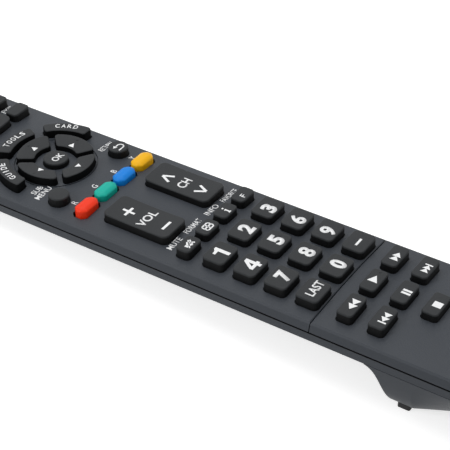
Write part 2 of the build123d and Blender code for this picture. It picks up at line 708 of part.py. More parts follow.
def case_cavity(run_from, run_to):
    """The space inside the lower case, under the circuit board, between two runs."""
    with BuildPart() as cavity:
        add(belly(BELLY_WALL))
        extrude(case_outline(BAND_DEPTH, CASE_WALL), amount=BAND_DEPTH - DECK_DEPTH)
    return stretch(cavity.part, DECK_DEPTH, BELLY_DEPTH, run_from, run_to)


def make_case_shell():
    """The lower case without its inner parts: band, lip, bowl, bulkhead and battery deck."""
    bay_front = COVER_SPLIT_GAP - COVER_SETBACK
    deck_front = -COVER_SETBACK - COVER_WALL - COVER_SPLIT_GAP
    deck_rear = 2 * HINGE_RADIUS + KNUCKLE_CLEARANCE - REAR_RUN
    with BuildPart() as shell:
        extrude(case_outline(BAND_DEPTH, 0), amount=BAND_HEIGHT)
        extrude(case_outline(PARTING_DEPTH, CASE_WALL - LIP_WALL), amount=PARTING_DEPTH - LIP_SEAT_DEPTH)
        add(stretch(belly(0), BAND_DEPTH, BELLY_DEPTH, bay_front, FRONT_RUN + OVERRUN))
        extrude(case_outline(DECK_DEPTH, CASE_WALL), amount=DECK_DEPTH - LIP_SEAT_DEPTH, mode=Mode.SUBTRACT)
        add(case_cavity(bay_front + BELLY_WALL, FRONT_RUN), mode=Mode.SUBTRACT)
        with BuildSketch(Plane.XY.offset(level(BAY_DEPTH))):
            add(case_outline(BAY_DEPTH, CASE_WALL + DECK_SET_IN))
            with Locations((0, SEAM_Y + (deck_front + deck_rear) / 2)):
                Rectangle(CASE_WIDTH, deck_front - deck_rear, mode=Mode.INTERSECT)
        extrude(amount=BAY_DEPTH - BAND_DEPTH)
    return shell.part


def make_lower_case():
    """The lower case: its shell with ribs, bosses, battery cradle, hinge knuckles and window slot."""
    cradle_half = CELL_X + CELL_DIAMETER / 2 + CRADLE_CLEARANCE
    front_wall = CELL_FRONT_RUN - CONTACT_ROOM
    rear_wall = CELL_REAR_RUN + CONTACT_ROOM
    thumb_height = level(BELLY_DEPTH - THUMB_DEPTH) - THUMB_RADIUS
    knuckle_height = HINGE_DEPTH - BAND_DEPTH
    with BuildPart() as case:
        add(make_case_shell())
        for share in RIB_SHARES:
            add(case_cavity(share * FRONT_RUN, share * FRONT_RUN + RIB_WALL))
        with BuildSketch(Plane.XY.offset(level(BAY_DEPTH))):
            with Locations((0, SEAM_Y - (front_wall + rear_wall) / 2)):
                Rectangle(2 * (cradle_half + CRADLE_WALL), rear_wall - front_wall + 2 * CRADLE_WALL)
                Rectangle(2 * cradle_half, rear_wall - front_wall, mode=Mode.SUBTRACT)
        extrude(amount=-CRADLE_DEPTH)
        with BuildSketch(Plane.XY.offset(level(BELLY_DEPTH - BELLY_WALL))):
            with Locations(*SCREW_PLACES[:2]):
                Circle(BOSS_RADIUS)
        extrude(amount=BELLY_DEPTH - BELLY_WALL - DECK_DEPTH)
        with BuildSketch(Plane.XY.offset(level(SCREW_SEAT_DEPTH))):
            with Locations(*SCREW_PLACES[2:]):
                Circle(BOSS_RADIUS)
        extrude(amount=SCREW_SEAT_DEPTH - DECK_DEPTH)
        with BuildSketch(Plane.XY.offset(level(BELLY_DEPTH))):
            with Locations(*SCREW_PLACES):
                Circle(SCREW_HEAD_RADIUS + SCREW_CLEARANCE)
        extrude(amount=BELLY_DEPTH - SCREW_SEAT_DEPTH, mode=Mode.SUBTRACT)
        with BuildSketch(Plane.XY.offset(level(SCREW_SEAT_DEPTH))):
            with Locations(*SCREW_PLACES):
                Circle(SCREW_RADIUS + SCREW_CLEARANCE)
        extrude(amount=SCREW_SEAT_DEPTH - DECK_DEPTH, mode=Mode.SUBTRACT)
        with Locations(*hinge_places((0, 0, 0))):
            Box(KNUCKLE_WIDTH, HINGE_RADIUS, knuckle_height, align=(Align.CENTER, Align.CENTER, Align.MIN))
        with Locations(*hinge_places((0, 90, 0))):
            Cylinder(HINGE_RADIUS, KNUCKLE_WIDTH)
            Cylinder(HINGE_PIN_RADIUS + HINGE_PIN_CLEARANCE, KNUCKLE_WIDTH, mode=Mode.SUBTRACT)
        with Locations((0, SEAM_Y - COVER_SETBACK + THUMB_SET_IN, thumb_height)):
            Sphere(THUMB_RADIUS, mode=Mode.SUBTRACT)
        add(window_block(0), mode=Mode.SUBTRACT)
    return case.part


def window_block(clearance):
    """The block of the front wall that the infrared window fills, narrowed by a clearance."""
    reach = FRONT_RUN - WINDOW_REACH
    width = WINDOW_WIDTH - 2 * clearance
    return span_box(LIP_SEAT_DEPTH, BAND_DEPTH - WINDOW_SILL, reach, FRONT_RUN + OVERRUN, width)


def make_window():
    """The dark infrared window, a stretch of the band's front wall."""
    with BuildPart() as window:
        extrude(case_outline(BAND_DEPTH, 0), amount=BAND_HEIGHT)
        extrude(case_outline(BAND_DEPTH, CASE_WALL), amount=BAND_HEIGHT, mode=Mode.SUBTRACT)
        add(window_block(WINDOW_CLEARANCE), mode=Mode.INTERSECT)
    return window.part


def sheet_outline(depth):
    """The plan shared by the keypad sheet and the circuit board."""
    nose = FRONT_RUN - SHEET_NOSE
    with BuildSketch(Plane.XY.offset(level(depth))) as outline:
        add(case_outline(depth, SHEET_INSET))
        with Locations((0, SEAM_Y + (nose - SHEET_REAR_RUN) / 2)):
            Rectangle(CASE_WIDTH, nose + SHEET_REAR_RUN, mode=Mode.INTERSECT)
        with Locations(*SCREW_PLACES[:2]):
            Circle(POST_RADIUS + POST_CLEARANCE, mode=Mode.SUBTRACT)
    return outline.sketch


def pad_places(keys):
    """Where the keypad sheet has a contact pad: one under each key, two under a rocker."""
    places = []
    for key in keys:
        reach = (ROCKER_LENGTH / 2 - CONTACT_PAD_SIZE) if key.kind == "rocker" else 0
        places += [(key.x, SEAM_Y + key.run + side * reach) for side in ((-1, 1) if reach else (0,))]
    return places


def make_mat(keys):
    """The rubber keypad sheet with its raised contact pads."""
    with BuildPart() as mat:
        extrude(sheet_outline(BOARD_DEPTH), amount=MAT_THICKNESS)
        with BuildSketch(Plane.XY.offset(level(MAT_DEPTH))):
            with Locations(*pad_places(keys)):
                Rectangle(CONTACT_PAD_SIZE, CONTACT_PAD_SIZE)
        extrude(amount=CONTACT_PAD_PROUD)
    return mat.part


def make_board():
    """The circuit board under the keypad sheet."""
    with BuildPart() as board:
        extrude(sheet_outline(BOARD_UNDER_DEPTH), amount=BOARD_THICKNESS)
    return board.part


def make_components():
    """The control chip, resonator and capacitors that hang under the circuit board."""
    middle = SEAM_Y + CHIP_SHARE * FRONT_RUN
    with BuildPart() as components:
        with BuildSketch(Plane.XY.offset(level(BOARD_UNDER_DEPTH))):
            with Locations((0, middle)):
                Rectangle(CHIP_SIZE, CHIP_SIZE)
        extrude(amount=-CHIP_HEIGHT)
        with BuildSketch(Plane.XY.offset(level(BOARD_UNDER_DEPTH))):
            with Locations((COMPONENT_SPACING, middle)):
                RectangleRounded(RESONATOR_LENGTH, RESONATOR_WIDTH, RESONATOR_LENGTH / 3)
        extrude(amount=-CHIP_HEIGHT)
        with BuildSketch(Plane.XY.offset(level(BOARD_UNDER_DEPTH))):
            with Locations((-COMPONENT_SPACING, middle), (-COMPONENT_SPACING, middle - 3 * CAPACITOR_RADIUS)):
                Circle(CAPACITOR_RADIUS)
        extrude(amount=-CAPACITOR_HEIGHT)
    return components.part


def make_diode():
    """The infrared diode at the board's front edge: a collar, a barrel and a dome."""
    tail = SEAM_Y + FRONT_RUN - SHEET_NOSE
    tip = FRONT_Y - CASE_WALL - DIODE_GAP
    axis_height = level(BOARD_DEPTH + BOARD_THICKNESS / 2)
    with BuildPart() as diode:
        with BuildSketch(Plane.YZ):
            with BuildLine():
                Polyline(
                    (tip, axis_height),
                    (tail, axis_height),
                    (tail, axis_height + DIODE_COLLAR),
                    (tail + DIODE_COLLAR_LENGTH, axis_height + DIODE_COLLAR),
                    (tail + DIODE_COLLAR_LENGTH, axis_height + DIODE_RADIUS),
                    (tip - DIODE_RADIUS, axis_height + DIODE_RADIUS),
                )
                RadiusArc((tip - DIODE_RADIUS, axis_height + DIODE_RADIUS), (tip, axis_height), DIODE_RADIUS)
            make_face()
        revolve(axis=Axis((0, 0, axis_height), (0, 1, 0)))
    return diode.part


def make_cell(side):
    """One battery cell lying along the case: the left one points forwards, the right one back."""
    middle = SEAM_Y - (CELL_FRONT_RUN + CELL_REAR_RUN) / 2
    nub = -side * (CELL_BODY + CELL_NUB_LENGTH) / 2
    with BuildPart() as cell:
        with Locations(Location((side * CELL_X, middle, level(CELL_DEPTH)), (90, 0, 0))):
            Cylinder(CELL_DIAMETER / 2, CELL_BODY)
        chamfer(cell.faces().filter_by(Axis.Y).edges(), CONTACT_THICKNESS)
        with Locations(Location((side * CELL_X, middle + nub, level(CELL_DEPTH)), (90, 0, 0))):
            Cylinder(CELL_NUB_DIAMETER / 2, CELL_NUB_LENGTH)
    return cell.part


def contact_places():
    """Each contact's x, wall and direction into the bay, with whether it is a flat plate."""
    front = SEAM_Y - CELL_FRONT_RUN + CONTACT_ROOM
    rear = SEAM_Y - CELL_REAR_RUN - CONTACT_ROOM
    return [
        (-CELL_X, front, -1, True),
        (CELL_X, front, -1, False),
        (-CELL_X, rear, 1, False),
        (CELL_X, rear, 1, True),
    ]


def make_plates():
    """The flat contacts, each with a pressed dimple that meets a cell's nub."""
    dimple = CONTACT_ROOM - CELL_NUB_LENGTH - CONTACT_THICKNESS - CONTACT_CLEARANCE
    with BuildPart() as plates:
        for x, wall, into, flat in contact_places():
            if flat:
                middle = level(BAY_DEPTH + CRADLE_DEPTH / 2)
                with Locations((x, wall + into * CONTACT_THICKNESS / 2, middle)):
                    Box(CONTACT_WIDTH, CONTACT_THICKNESS, CRADLE_DEPTH)
                seat = wall + into * (CONTACT_THICKNESS + dimple / 2)
                with Locations(Location((x, seat, level(CELL_DEPTH)), (90, 0, 0))):
                    Cylinder(CELL_NUB_DIAMETER / 3, dimple)
    return plates.part


def make_springs():
    """The leaf springs that press on the cells' flat ends."""
    with BuildPart() as springs:
        for x, wall, into, flat in contact_places():
            if not flat:
                back = wall + into * CONTACT_THICKNESS / 2
                reach = wall + into * (CONTACT_ROOM - CONTACT_THICKNESS)
                foot = wall + into * (CONTACT_ROOM / 2)
                with BuildSketch(Plane.YZ.offset(x)):
                    with BuildLine():
                        Polyline(
                            (back, level(BAY_DEPTH + CONTACT_CLEARANCE)),
                            (back, level(CELL_DEPTH - CELL_NUB_DIAMETER)),
                            (reach, level(CELL_DEPTH)),
                            (foot, level(CELL_DEPTH + CELL_NUB_DIAMETER / 2)),
                        )
                    trace(line_width=CONTACT_THICKNESS)
                extrude(amount=CONTACT_WIDTH / 2, both=True)
    return springs.part


def make_feet():
    """The two rubber feet, seated on the hump's lower corners."""
    spread = CASE_WIDTH / 2 - FOOT_SIDE
    with BuildPart() as feet:
        with BuildSketch():
            with Locations((-spread, SEAM_Y - FOOT_RUN), (spread, SEAM_Y - FOOT_RUN)):
                RectangleRounded(FOOT_WIDTH, FOOT_LENGTH, FOOT_RADIUS)
        extrude(amount=FOOT_ROOT)
        add(hump(0), mode=Mode.SUBTRACT)
    return feet.part


def make_screws():
    """The case screws: a head on its seat and a shank up into the faceplate's post."""
    with BuildPart() as screws:
        with BuildSketch(Plane.XY.offset(level(SCREW_SEAT_DEPTH + SCREW_HEAD_HEIGHT))):
            with Locations(*SCREW_PLACES):
                Circle(SCREW_HEAD_RADIUS)
        extrude(amount=SCREW_HEAD_HEIGHT)
        with BuildSketch(Plane.XY.offset(level(SCREW_SEAT_DEPTH))):
            with Locations(*SCREW_PLACES):
                Circle(SCREW_RADIUS)
        extrude(amount=SCREW_LENGTH)
    return screws.part


def write_part(name, part):
    """Labels a finished piece and writes it under its name."""
    part.label = name
    export_step(part, f"parts/{name}.step")


keys = key_table()
skin = make_skin()
front_keys = [key for key in keys if key.run > 0]
rear_keys = [key for key in keys if key.run < 0]
front_end = FRONT_RUN + OVERRUN
rear_end = -REAR_RUN - OVERRUN
write_part("front_faceplate", make_faceplate(skin, SEAM_GAP / 2, front_end, front_keys, SCREW_PLACES[:2]))
write_part("rear_faceplate", make_faceplate(skin, -SEAM_GAP / 2, rear_end, rear_keys, SCREW_PLACES[2:]))
write_part("lower_case", make_lower_case())
write_part("battery_cover", make_cover())
write_part("keypad_mat", make_mat(keys))
write_part("circuit_board", make_board())
write_part("board_components", make_components())
write_part("ir_window", make_window())
write_part("ir_diode", make_diode())
write_part("battery_left", make_cell(-1))
write_part("battery_right", make_cell(1))
write_part("contact_plates", make_plates())
write_part("contact_springs", make_springs())
write_part("rubber_feet", make_feet())
write_part("case_screws", make_screws())
for key in keys:
    write_part(key.name, make_key(key))
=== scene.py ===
import json
import logging
import math
from abc import ABC, abstractmethod
from collections.abc import Callable, Iterator
from contextlib import contextmanager
from dataclasses import dataclass, field, replace
from enum import Enum

import bmesh
import bpy
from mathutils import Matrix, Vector

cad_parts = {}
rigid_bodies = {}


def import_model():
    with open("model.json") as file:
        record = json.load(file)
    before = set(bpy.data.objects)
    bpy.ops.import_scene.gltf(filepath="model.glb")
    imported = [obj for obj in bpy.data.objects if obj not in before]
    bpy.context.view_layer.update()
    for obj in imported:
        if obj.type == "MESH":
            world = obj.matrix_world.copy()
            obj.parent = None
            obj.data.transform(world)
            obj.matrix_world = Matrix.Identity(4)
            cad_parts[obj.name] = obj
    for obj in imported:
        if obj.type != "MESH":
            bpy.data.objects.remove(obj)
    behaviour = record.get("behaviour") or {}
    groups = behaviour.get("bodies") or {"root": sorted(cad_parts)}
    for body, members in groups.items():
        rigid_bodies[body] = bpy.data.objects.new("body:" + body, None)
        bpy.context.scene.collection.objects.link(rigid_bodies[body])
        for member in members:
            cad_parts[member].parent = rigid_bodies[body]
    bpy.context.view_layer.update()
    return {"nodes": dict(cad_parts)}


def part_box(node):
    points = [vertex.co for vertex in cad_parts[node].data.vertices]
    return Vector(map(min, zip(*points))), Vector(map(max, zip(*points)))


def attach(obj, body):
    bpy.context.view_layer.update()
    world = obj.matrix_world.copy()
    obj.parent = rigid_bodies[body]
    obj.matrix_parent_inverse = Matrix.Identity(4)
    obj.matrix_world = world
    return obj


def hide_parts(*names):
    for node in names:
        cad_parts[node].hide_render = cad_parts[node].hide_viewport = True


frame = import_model()

Piece = bpy.types.Object
Point = tuple[float, float]

MM = 0.001
ORIGIN = Vector((0, 0, 0))
UP = Vector((0, 0, 1))
QUARTER = math.pi / 2
WHITE = (1, 1, 1, 1)
log = logging.getLogger("remote")

# How level, steep or sharp a face or an edge is to count as such, and how near two places are to count as one
LEVEL = 0.99
TOP = 0.9
WALL = 0.3
SHARP = math.radians(30)
NEAR = 1e-6
ROW_DIGITS = 7
SAME_ROW = 2e-7

# Facets and shading
SHADED_SMOOTH = math.radians(35)
LETTER_STEPS = 5


class Element(Enum):
    """The kinds of mesh element that edit mode selects."""

    VERTS = "VERT"
    EDGES = "EDGE"
    FACES = "FACE"


class Weight(Enum):
    """How heavy the printed strokes of a word are: the text's own offset."""

    LIGHT = 0.012
    MEDIUM = 0.02
    BOLD = 0.036
    HEAVY = 0.052


# Selecting and shaping in edit mode


def focus(piece: Piece) -> None:
    """Makes a piece the only selected and the active object.

    Args:
        piece: The object to work on.
    """
    bpy.ops.object.select_all(action="DESELECT")
    piece.select_set(True)
    bpy.context.view_layer.objects.active = piece


@contextmanager
def editing(piece: Piece) -> Iterator[None]:
    """Opens a piece in edit mode with nothing selected, and closes it again.

    Args:
        piece: The mesh object to edit.
    """
    focus(piece)
    bpy.ops.object.mode_set(mode="EDIT")
    bpy.ops.mesh.select_mode(type="VERT")
    bpy.ops.mesh.select_all(action="DESELECT")
    yield
    bpy.ops.object.mode_set(mode="OBJECT")


def pick(element: Element, test: Callable) -> int:
    """Selects the elements of the open mesh that pass a test, and nothing else.

    Args:
        element: Which kind of element to select.
        test: Takes one bmesh element and says whether it is wanted.

    Returns:
        How many elements are selected.
    """
    bpy.ops.mesh.select_mode(type=element.value)
    bpy.ops.mesh.select_all(action="DESELECT")
    data = bpy.context.object.data
    mesh = bmesh.from_edit_mesh(data)
    chosen = [item for item in getattr(mesh, element.name.lower()) if test(item)]
    for item in chosen:
        item.select_set(True)
    mesh.select_flush_mode()
    bmesh.update_edit_mesh(data)
    return len(chosen)


def is_upright(edge: bmesh.types.BMEdge) -> bool:
    """Says whether an edge stands upright where two walls meet at a clear angle."""
    way = (edge.verts[1].co - edge.verts[0].co).normalized()
    return abs(way.z) > LEVEL and edge.calc_face_angle(0) > SHARP


def is_level(edge: bmesh.types.BMEdge) -> bool:
    """Says whether an edge lies level."""
    return abs(edge.verts[0].co.z - edge.verts[1].co.z) < NEAR


def is_rim(edge: bmesh.types.BMEdge) -> bool:
    """Says whether an edge lies between a top face and a wall."""
    heights = sorted(face.normal.z for face in edge.link_faces)
    return len(heights) == 2 and heights[1] > TOP and abs(heights[0]) < WALL


def faces_up(face: bmesh.types.BMFace) -> bool:
    """Says whether a face looks upwards."""
    return face.normal.z > LEVEL


def bevel_edges(width: float, steps: int) -> None:
    """Bevels the selected edges of the open mesh, in some steps."""
    bpy.ops.mesh.bevel(offset=width, segments=steps, profile=0.5, affect="EDGES", clamp_overlap=False)


def extrude_by(height: float) -> None:
    """Extrudes the selected faces of the open mesh upwards, or downwards by less than nothing."""
    bpy.ops.mesh.extrude_region_move(TRANSFORM_OT_translate={"value": (0, 0, height)})


def shift(x: float = 0, y: float = 0, z: float = 0) -> None:
    """Moves what is selected in the open mesh."""
    bpy.ops.transform.translate(value=(x, y, z))


def cut_across(place: Vector, normal: tuple[float, float, float]) -> None:
    """Cuts the whole open mesh along a plane."""
    bpy.ops.mesh.select_all(action="SELECT")
    bpy.ops.mesh.bisect(plane_co=place, plane_no=normal)


def cut_rows(piece: Piece, centre: Vector, axis: int, reach: float, count: int) -> list[float]:
    """Cuts the open mesh into even rows across an axis.

    Args:
        piece: The piece that is open.
        centre: Its middle.
        axis: The axis that the rows follow each other along, 0 for X and 1 for Y.
        reach: How far from the middle the first and last cut lie.
        count: How many rows there are between them.

    Returns:
        The places along the axis at which the mesh has points.
    """
    for row in range(count + 1):
        place = centre.copy()
        place[axis] = centre[axis] - reach + 2 * reach * row / count
        cut_across(place, (1 - axis, axis, 0))
    mesh = bmesh.from_edit_mesh(piece.data)
    return sorted({round(vertex.co[axis], ROW_DIGITS) for vertex in mesh.verts})


# Making, copying and finishing pieces


def bake_place(piece: Piece) -> None:
    """Puts a piece's place, turn and scale into its mesh."""
    focus(piece)
    bpy.ops.object.transform_apply(location=True, rotation=True, scale=True)


def rename(piece: Piece, name: str) -> Piece:
    """Gives a piece and its data one name, and hands it back."""
    piece.name = piece.data.name = name
    return piece


def add_piece(add: Callable, name: str, **settings: object) -> Piece:
    """Adds a piece with one of Blender's own operators.

    Args:
        add: The operator.
        name: The piece's name.
        settings: What the operator takes.

    Returns:
        The new object.
    """
    bpy.ops.object.select_all(action="DESELECT")
    add(**settings)
    return rename(bpy.context.object, name)


def add_block(name: str, low: Vector, high: Vector) -> Piece:
    """Adds a block between two corners, as the start of a shape.

    Args:
        name: The piece's name.
        low: Its lowest corner.
        high: Its highest corner.

    Returns:
        The block, with its place in its mesh.
    """
    block = add_piece(bpy.ops.mesh.primitive_cube_add, name, size=1, location=(low + high) / 2)
    block.scale = high - low
    bake_place(block)
    return block


def add_disc(name: str, foot: Vector, radius: float, height: float, sides: int = 64) -> Piece:
    """Adds an upright cylinder.

    Args:
        name: The piece's name.
        foot: The middle of its underside.
        radius: Its radius.
        height: Its height.
        sides: How many sides it has.

    Returns:
        The cylinder, with its place in its mesh.
    """
    disc = add_piece(
        bpy.ops.mesh.primitive_cylinder_add, name, vertices=sides, radius=radius, depth=height,
        location=foot + Vector((0, 0, height / 2)),
    )
    bake_place(disc)
    return disc


def flat_outline(corners: list[Point], height: float = 0, name: str = "flat") -> Piece:
    """Makes one flat face that looks upwards: a filled circle whose points are moved one by one.

    Args:
        corners: The corners, counter-clockwise, in metres.
        height: The height that the face lies at.
        name: The piece's name.

    Returns:
        A mesh of one face.
    """
    flat = add_piece(bpy.ops.mesh.primitive_circle_add, name, vertices=len(corners), radius=MM, fill_type="NGON")
    with editing(flat):
        places = [vertex.co.copy() for vertex in bmesh.from_edit_mesh(flat.data).verts]
        for index, (place, corner) in enumerate(zip(places, corners)):
            pick(Element.VERTS, lambda vertex: vertex.index == index)
            shift(corner[0] - place.x, corner[1] - place.y, height - place.z)
        pick(Element.FACES, lambda face: face.normal.z < 0)
        bpy.ops.mesh.flip_normals()
    return flat


def outline_block(name: str, corners: list[Point], low: float, top: float) -> Piece:
    """Raises a block from an outline.

    Args:
        name: The piece's name.
        corners: The outline's corners, counter-clockwise, in metres.
        low: The height of its foot.
        top: The height of its top.

    Returns:
        The closed block.
    """
    block = flat_outline(corners, low, name)
    with editing(block):
        bpy.ops.mesh.select_all(action="SELECT")
        extrude_by(top - low)
        bpy.ops.mesh.select_all(action="SELECT")
        bpy.ops.mesh.normals_make_consistent(inside=False)
    return block


def join_pieces(pieces: list[Piece]) -> Piece:
    """Joins pieces into the first of them.

    Args:
        pieces: The objects to join.

    Returns:
        The joined object.
    """
    focus(pieces[0])
    for piece in pieces[1:]:
        piece.select_set(True)
    if len(pieces) > 1:
        bpy.ops.object.join()
    return pieces[0]


def place_piece(piece: Piece, place: Vector | tuple, turn: tuple[float, float, float]) -> Piece:
    """Turns a piece about its origin, moves it and puts both into its mesh.

    Args:
        piece: The piece to place.
        place: Where its origin goes.
        turn: The angles that it turns by, in radians.

    Returns:
        The same piece.
    """
    piece.rotation_euler = turn
    piece.location = place
    bake_place(piece)
    return piece


def copy_piece(master: Piece, name: str, move: Vector, turn: float = 0, about: Vector = ORIGIN) -> Piece:
    """Copies a piece with a mesh of its own, then moves it or turns it about an upright axis.

    Args:
        master: The piece to copy.
        name: The copy's name.
        move: How far the copy moves.
        turn: The angle that it turns by, in radians.
        about: The point that it turns about.

    Returns:
        The copy, with its place in its mesh.
    """
    focus(master)
    bpy.ops.object.duplicate(linked=False)
    cosine, sine = math.cos(turn), math.sin(turn)
    swung = Vector((cosine * about.x - sine * about.y, sine * about.x + cosine * about.y, about.z))
    return place_piece(rename(bpy.context.object, name), about - swung + move, (0, 0, turn))


def spread(master: Piece, nodes: list[str]) -> dict[str, Piece]:
    """Copies a cap to the places of other nodes of its kind.

    Args:
        master: The cap of the first node.
        nodes: The nodes.

    Returns:
        The cap of each node.
    """
    first = middle_of(nodes[0])
    return {nodes[0]: master} | {node: copy_piece(master, f"cap_{node}", middle_of(node) - first) for node in nodes[1:]}


def apply_modifier(piece: Piece, kind: str, **settings: object) -> None:
    """Adds a modifier to a piece and applies it.

    Args:
        piece: The mesh object.
        kind: The modifier's type.
        settings: The modifier's own settings.
    """
    focus(piece)
    modifier = piece.modifiers.new(kind.title(), kind)
    for key, value in settings.items():
        setattr(modifier, key, value)
    bpy.ops.object.modifier_apply(modifier=modifier.name)


def seat(piece: Piece, node: str, body: str = "") -> None:
    """Shades a finished piece and puts it in the place of a CAD node.

    Args:
        piece: The finished piece.
        node: The CAD node that it stands for.
        body: The body that it rides on, if it hasn't the node's name.
    """
    focus(piece)
    bpy.ops.object.shade_smooth_by_angle(angle=SHADED_SMOOTH)
    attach(piece, body or node)
    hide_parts(node)
    log.info("piece %s in place of %s", piece.name, node)


def middle_of(node: str) -> Vector:
    """The middle of a CAD node's box at rest."""
    low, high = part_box(node)
    return (low + high) / 2


# Finishes


@dataclass
class Wiring:
    """A node tree that is filled node by node."""

    tree: bpy.types.NodeTree

    def feed(self, node: bpy.types.Node, values: dict) -> None:
        """Wires or sets a node's inputs.

        Args:
            node: The node.
            values: For each input, the socket that feeds it or the value that it keeps.
        """
        for key, value in values.items():
            if isinstance(value, bpy.types.NodeSocket):
                self.tree.links.new(value, node.inputs[key])
            else:
                node.inputs[key].default_value = value

    def add(self, kind: str, values: dict, **settings: object) -> bpy.types.bpy_prop_collection:
        """Adds a node.

        Args:
            kind: Its type, without the leading ShaderNode.
            values: What its inputs are fed with.
            settings: Its own settings.

        Returns:
            Its outputs.
        """
        node = self.tree.nodes.new(f"ShaderNode{kind}")
        for key, value in settings.items():
            setattr(node, key, value)
        self.feed(node, values)
        return node.outputs

    def calc(self, operation: str, *values: object) -> bpy.types.NodeSocket:
        """Adds a Math node on sockets and numbers, and gives its result."""
        return self.add("Math", dict(enumerate(values)), operation=operation)[0]


def start_group(name: str, takes: dict, gives: dict) -> tuple[Wiring, bpy.types.bpy_prop_collection, bpy.types.Node]:
    """Starts a shader node group.

    Args:
        name: Its name.
        takes: The type of each socket that goes in, by its name.
        gives: The same for those that come out.

    Returns:
        Its wiring, the sockets that come in and the node that they leave by.
    """
    tree = bpy.data.node_groups.new(name, "ShaderNodeTree")
    for way, sockets in (("INPUT", takes), ("OUTPUT", gives)):
        for socket, kind in sockets.items():
            tree.interface.new_socket(name=socket, in_out=way, socket_type=f"NodeSocket{kind}")
    return Wiring(tree), tree.nodes.new("NodeGroupInput").outputs, tree.nodes.new("NodeGroupOutput")


# The moulded grain: the fine noise's scale against the pits', and the shares that make up its height and its tone
FINE_RATIO = 2.6
PIT_SHARE = 0.7
FINE_SHARE = 0.35
MEAN_TONE = 0.67


def grain_group() -> bpy.types.NodeTree:
    """Builds the shared moulded grain: a fine pitted skin, a slow drift of tone and uneven gloss.

    Returns:
        The node group, with Colour, Size, Drift, Roughness and Spread going in and Colour, Roughness and Height out.
    """
    floats = dict.fromkeys(("Size", "Drift", "Roughness", "Spread"), "Float")
    wiring, entry, leave = start_group(
        "moulded_grain", {"Colour": "Color"} | floats, {"Colour": "Color", "Roughness": "Float", "Height": "Float"}
    )
    place = wiring.add("TexCoord", {})["Object"]
    finer = wiring.calc("MULTIPLY", entry["Size"], FINE_RATIO)
    pits = wiring.add("TexVoronoi", {"Vector": place, "Scale": entry["Size"], "Smoothness": 0.6}, feature="SMOOTH_F1")
    fine = wiring.add("TexNoise", {"Vector": place, "Scale": finer, "Detail": 3})
    slow = wiring.add("TexNoise", {"Vector": place, "Scale": 45, "Detail": 2})
    mottle = wiring.calc("MULTIPLY_ADD", fine["Fac"], FINE_SHARE, slow["Fac"])
    centred = wiring.calc("SUBTRACT", mottle, MEAN_TONE)
    tone = wiring.calc("MULTIPLY_ADD", centred, entry["Drift"], 1)
    wiring.feed(leave, {
        "Colour": wiring.add("VectorMath", {0: entry["Colour"], "Scale": tone}, operation="SCALE")[0],
        "Roughness": wiring.calc("MULTIPLY_ADD", centred, entry["Spread"], entry["Roughness"]),
        "Height": wiring.calc("MULTIPLY_ADD", pits["Distance"], PIT_SHARE, fine["Fac"]),
    })
    return wiring.tree


def paint_and_shade_edge_group() -> bpy.types.NodeTree:
    """Builds the shared edge between two colours at a height, along a slightly uneven line. It marks where the key
    paint ends on the walls, and where the near-black painted shade of the parting gap starts on the lower case.

    Returns:
        The node group, with the colour above the edge, the colour under it, Edge and Fade going in and Colour out.
    """
    wiring, entry, leave = start_group(
        "paint_edge", {"Paint": "Color", "Under": "Color", "Edge": "Float", "Fade": "Float"}, {"Colour": "Color"}
    )
    place = wiring.add("TexCoord", {})["Object"]
    wobble = wiring.add("TexNoise", {"Vector": place, "Scale": 900})["Fac"]
    height = wiring.add("SeparateXYZ", {0: place})["Z"]
    share = wiring.add("MapRange", {
        "Value": wiring.calc("MULTIPLY_ADD", wobble, entry["Fade"], height),
        "From Min": wiring.calc("SUBTRACT", entry["Edge"], entry["Fade"]),
        "From Max": wiring.calc("ADD", entry["Edge"], entry["Fade"]),
    }, interpolation_type="SMOOTHSTEP")["Result"]
    blend = wiring.add("Mix", {0: share, 6: entry["Under"], 7: entry["Paint"]}, data_type="RGBA")
    wiring.feed(leave, {"Colour": blend[2]})
    return wiring.tree


@dataclass(frozen=True)
class Tint:
    """A colour written as it looks: red, green and blue from 0 to 255."""

    red: float
    green: float
    blue: float

    def linear(self) -> tuple[float, float, float, float]:
        """The colour in the light units that Blender's sockets take.

        Returns:
            Red, green and blue from 0 to 1, and full cover.
        """
        shares = []
        for value in (self.red, self.green, self.blue):
            share = value / 255
            shares.append(share / 12.92 if share <= 0.04045 else ((share + 0.055) / 1.055) ** 2.4)
        return (*shares, 1.0)


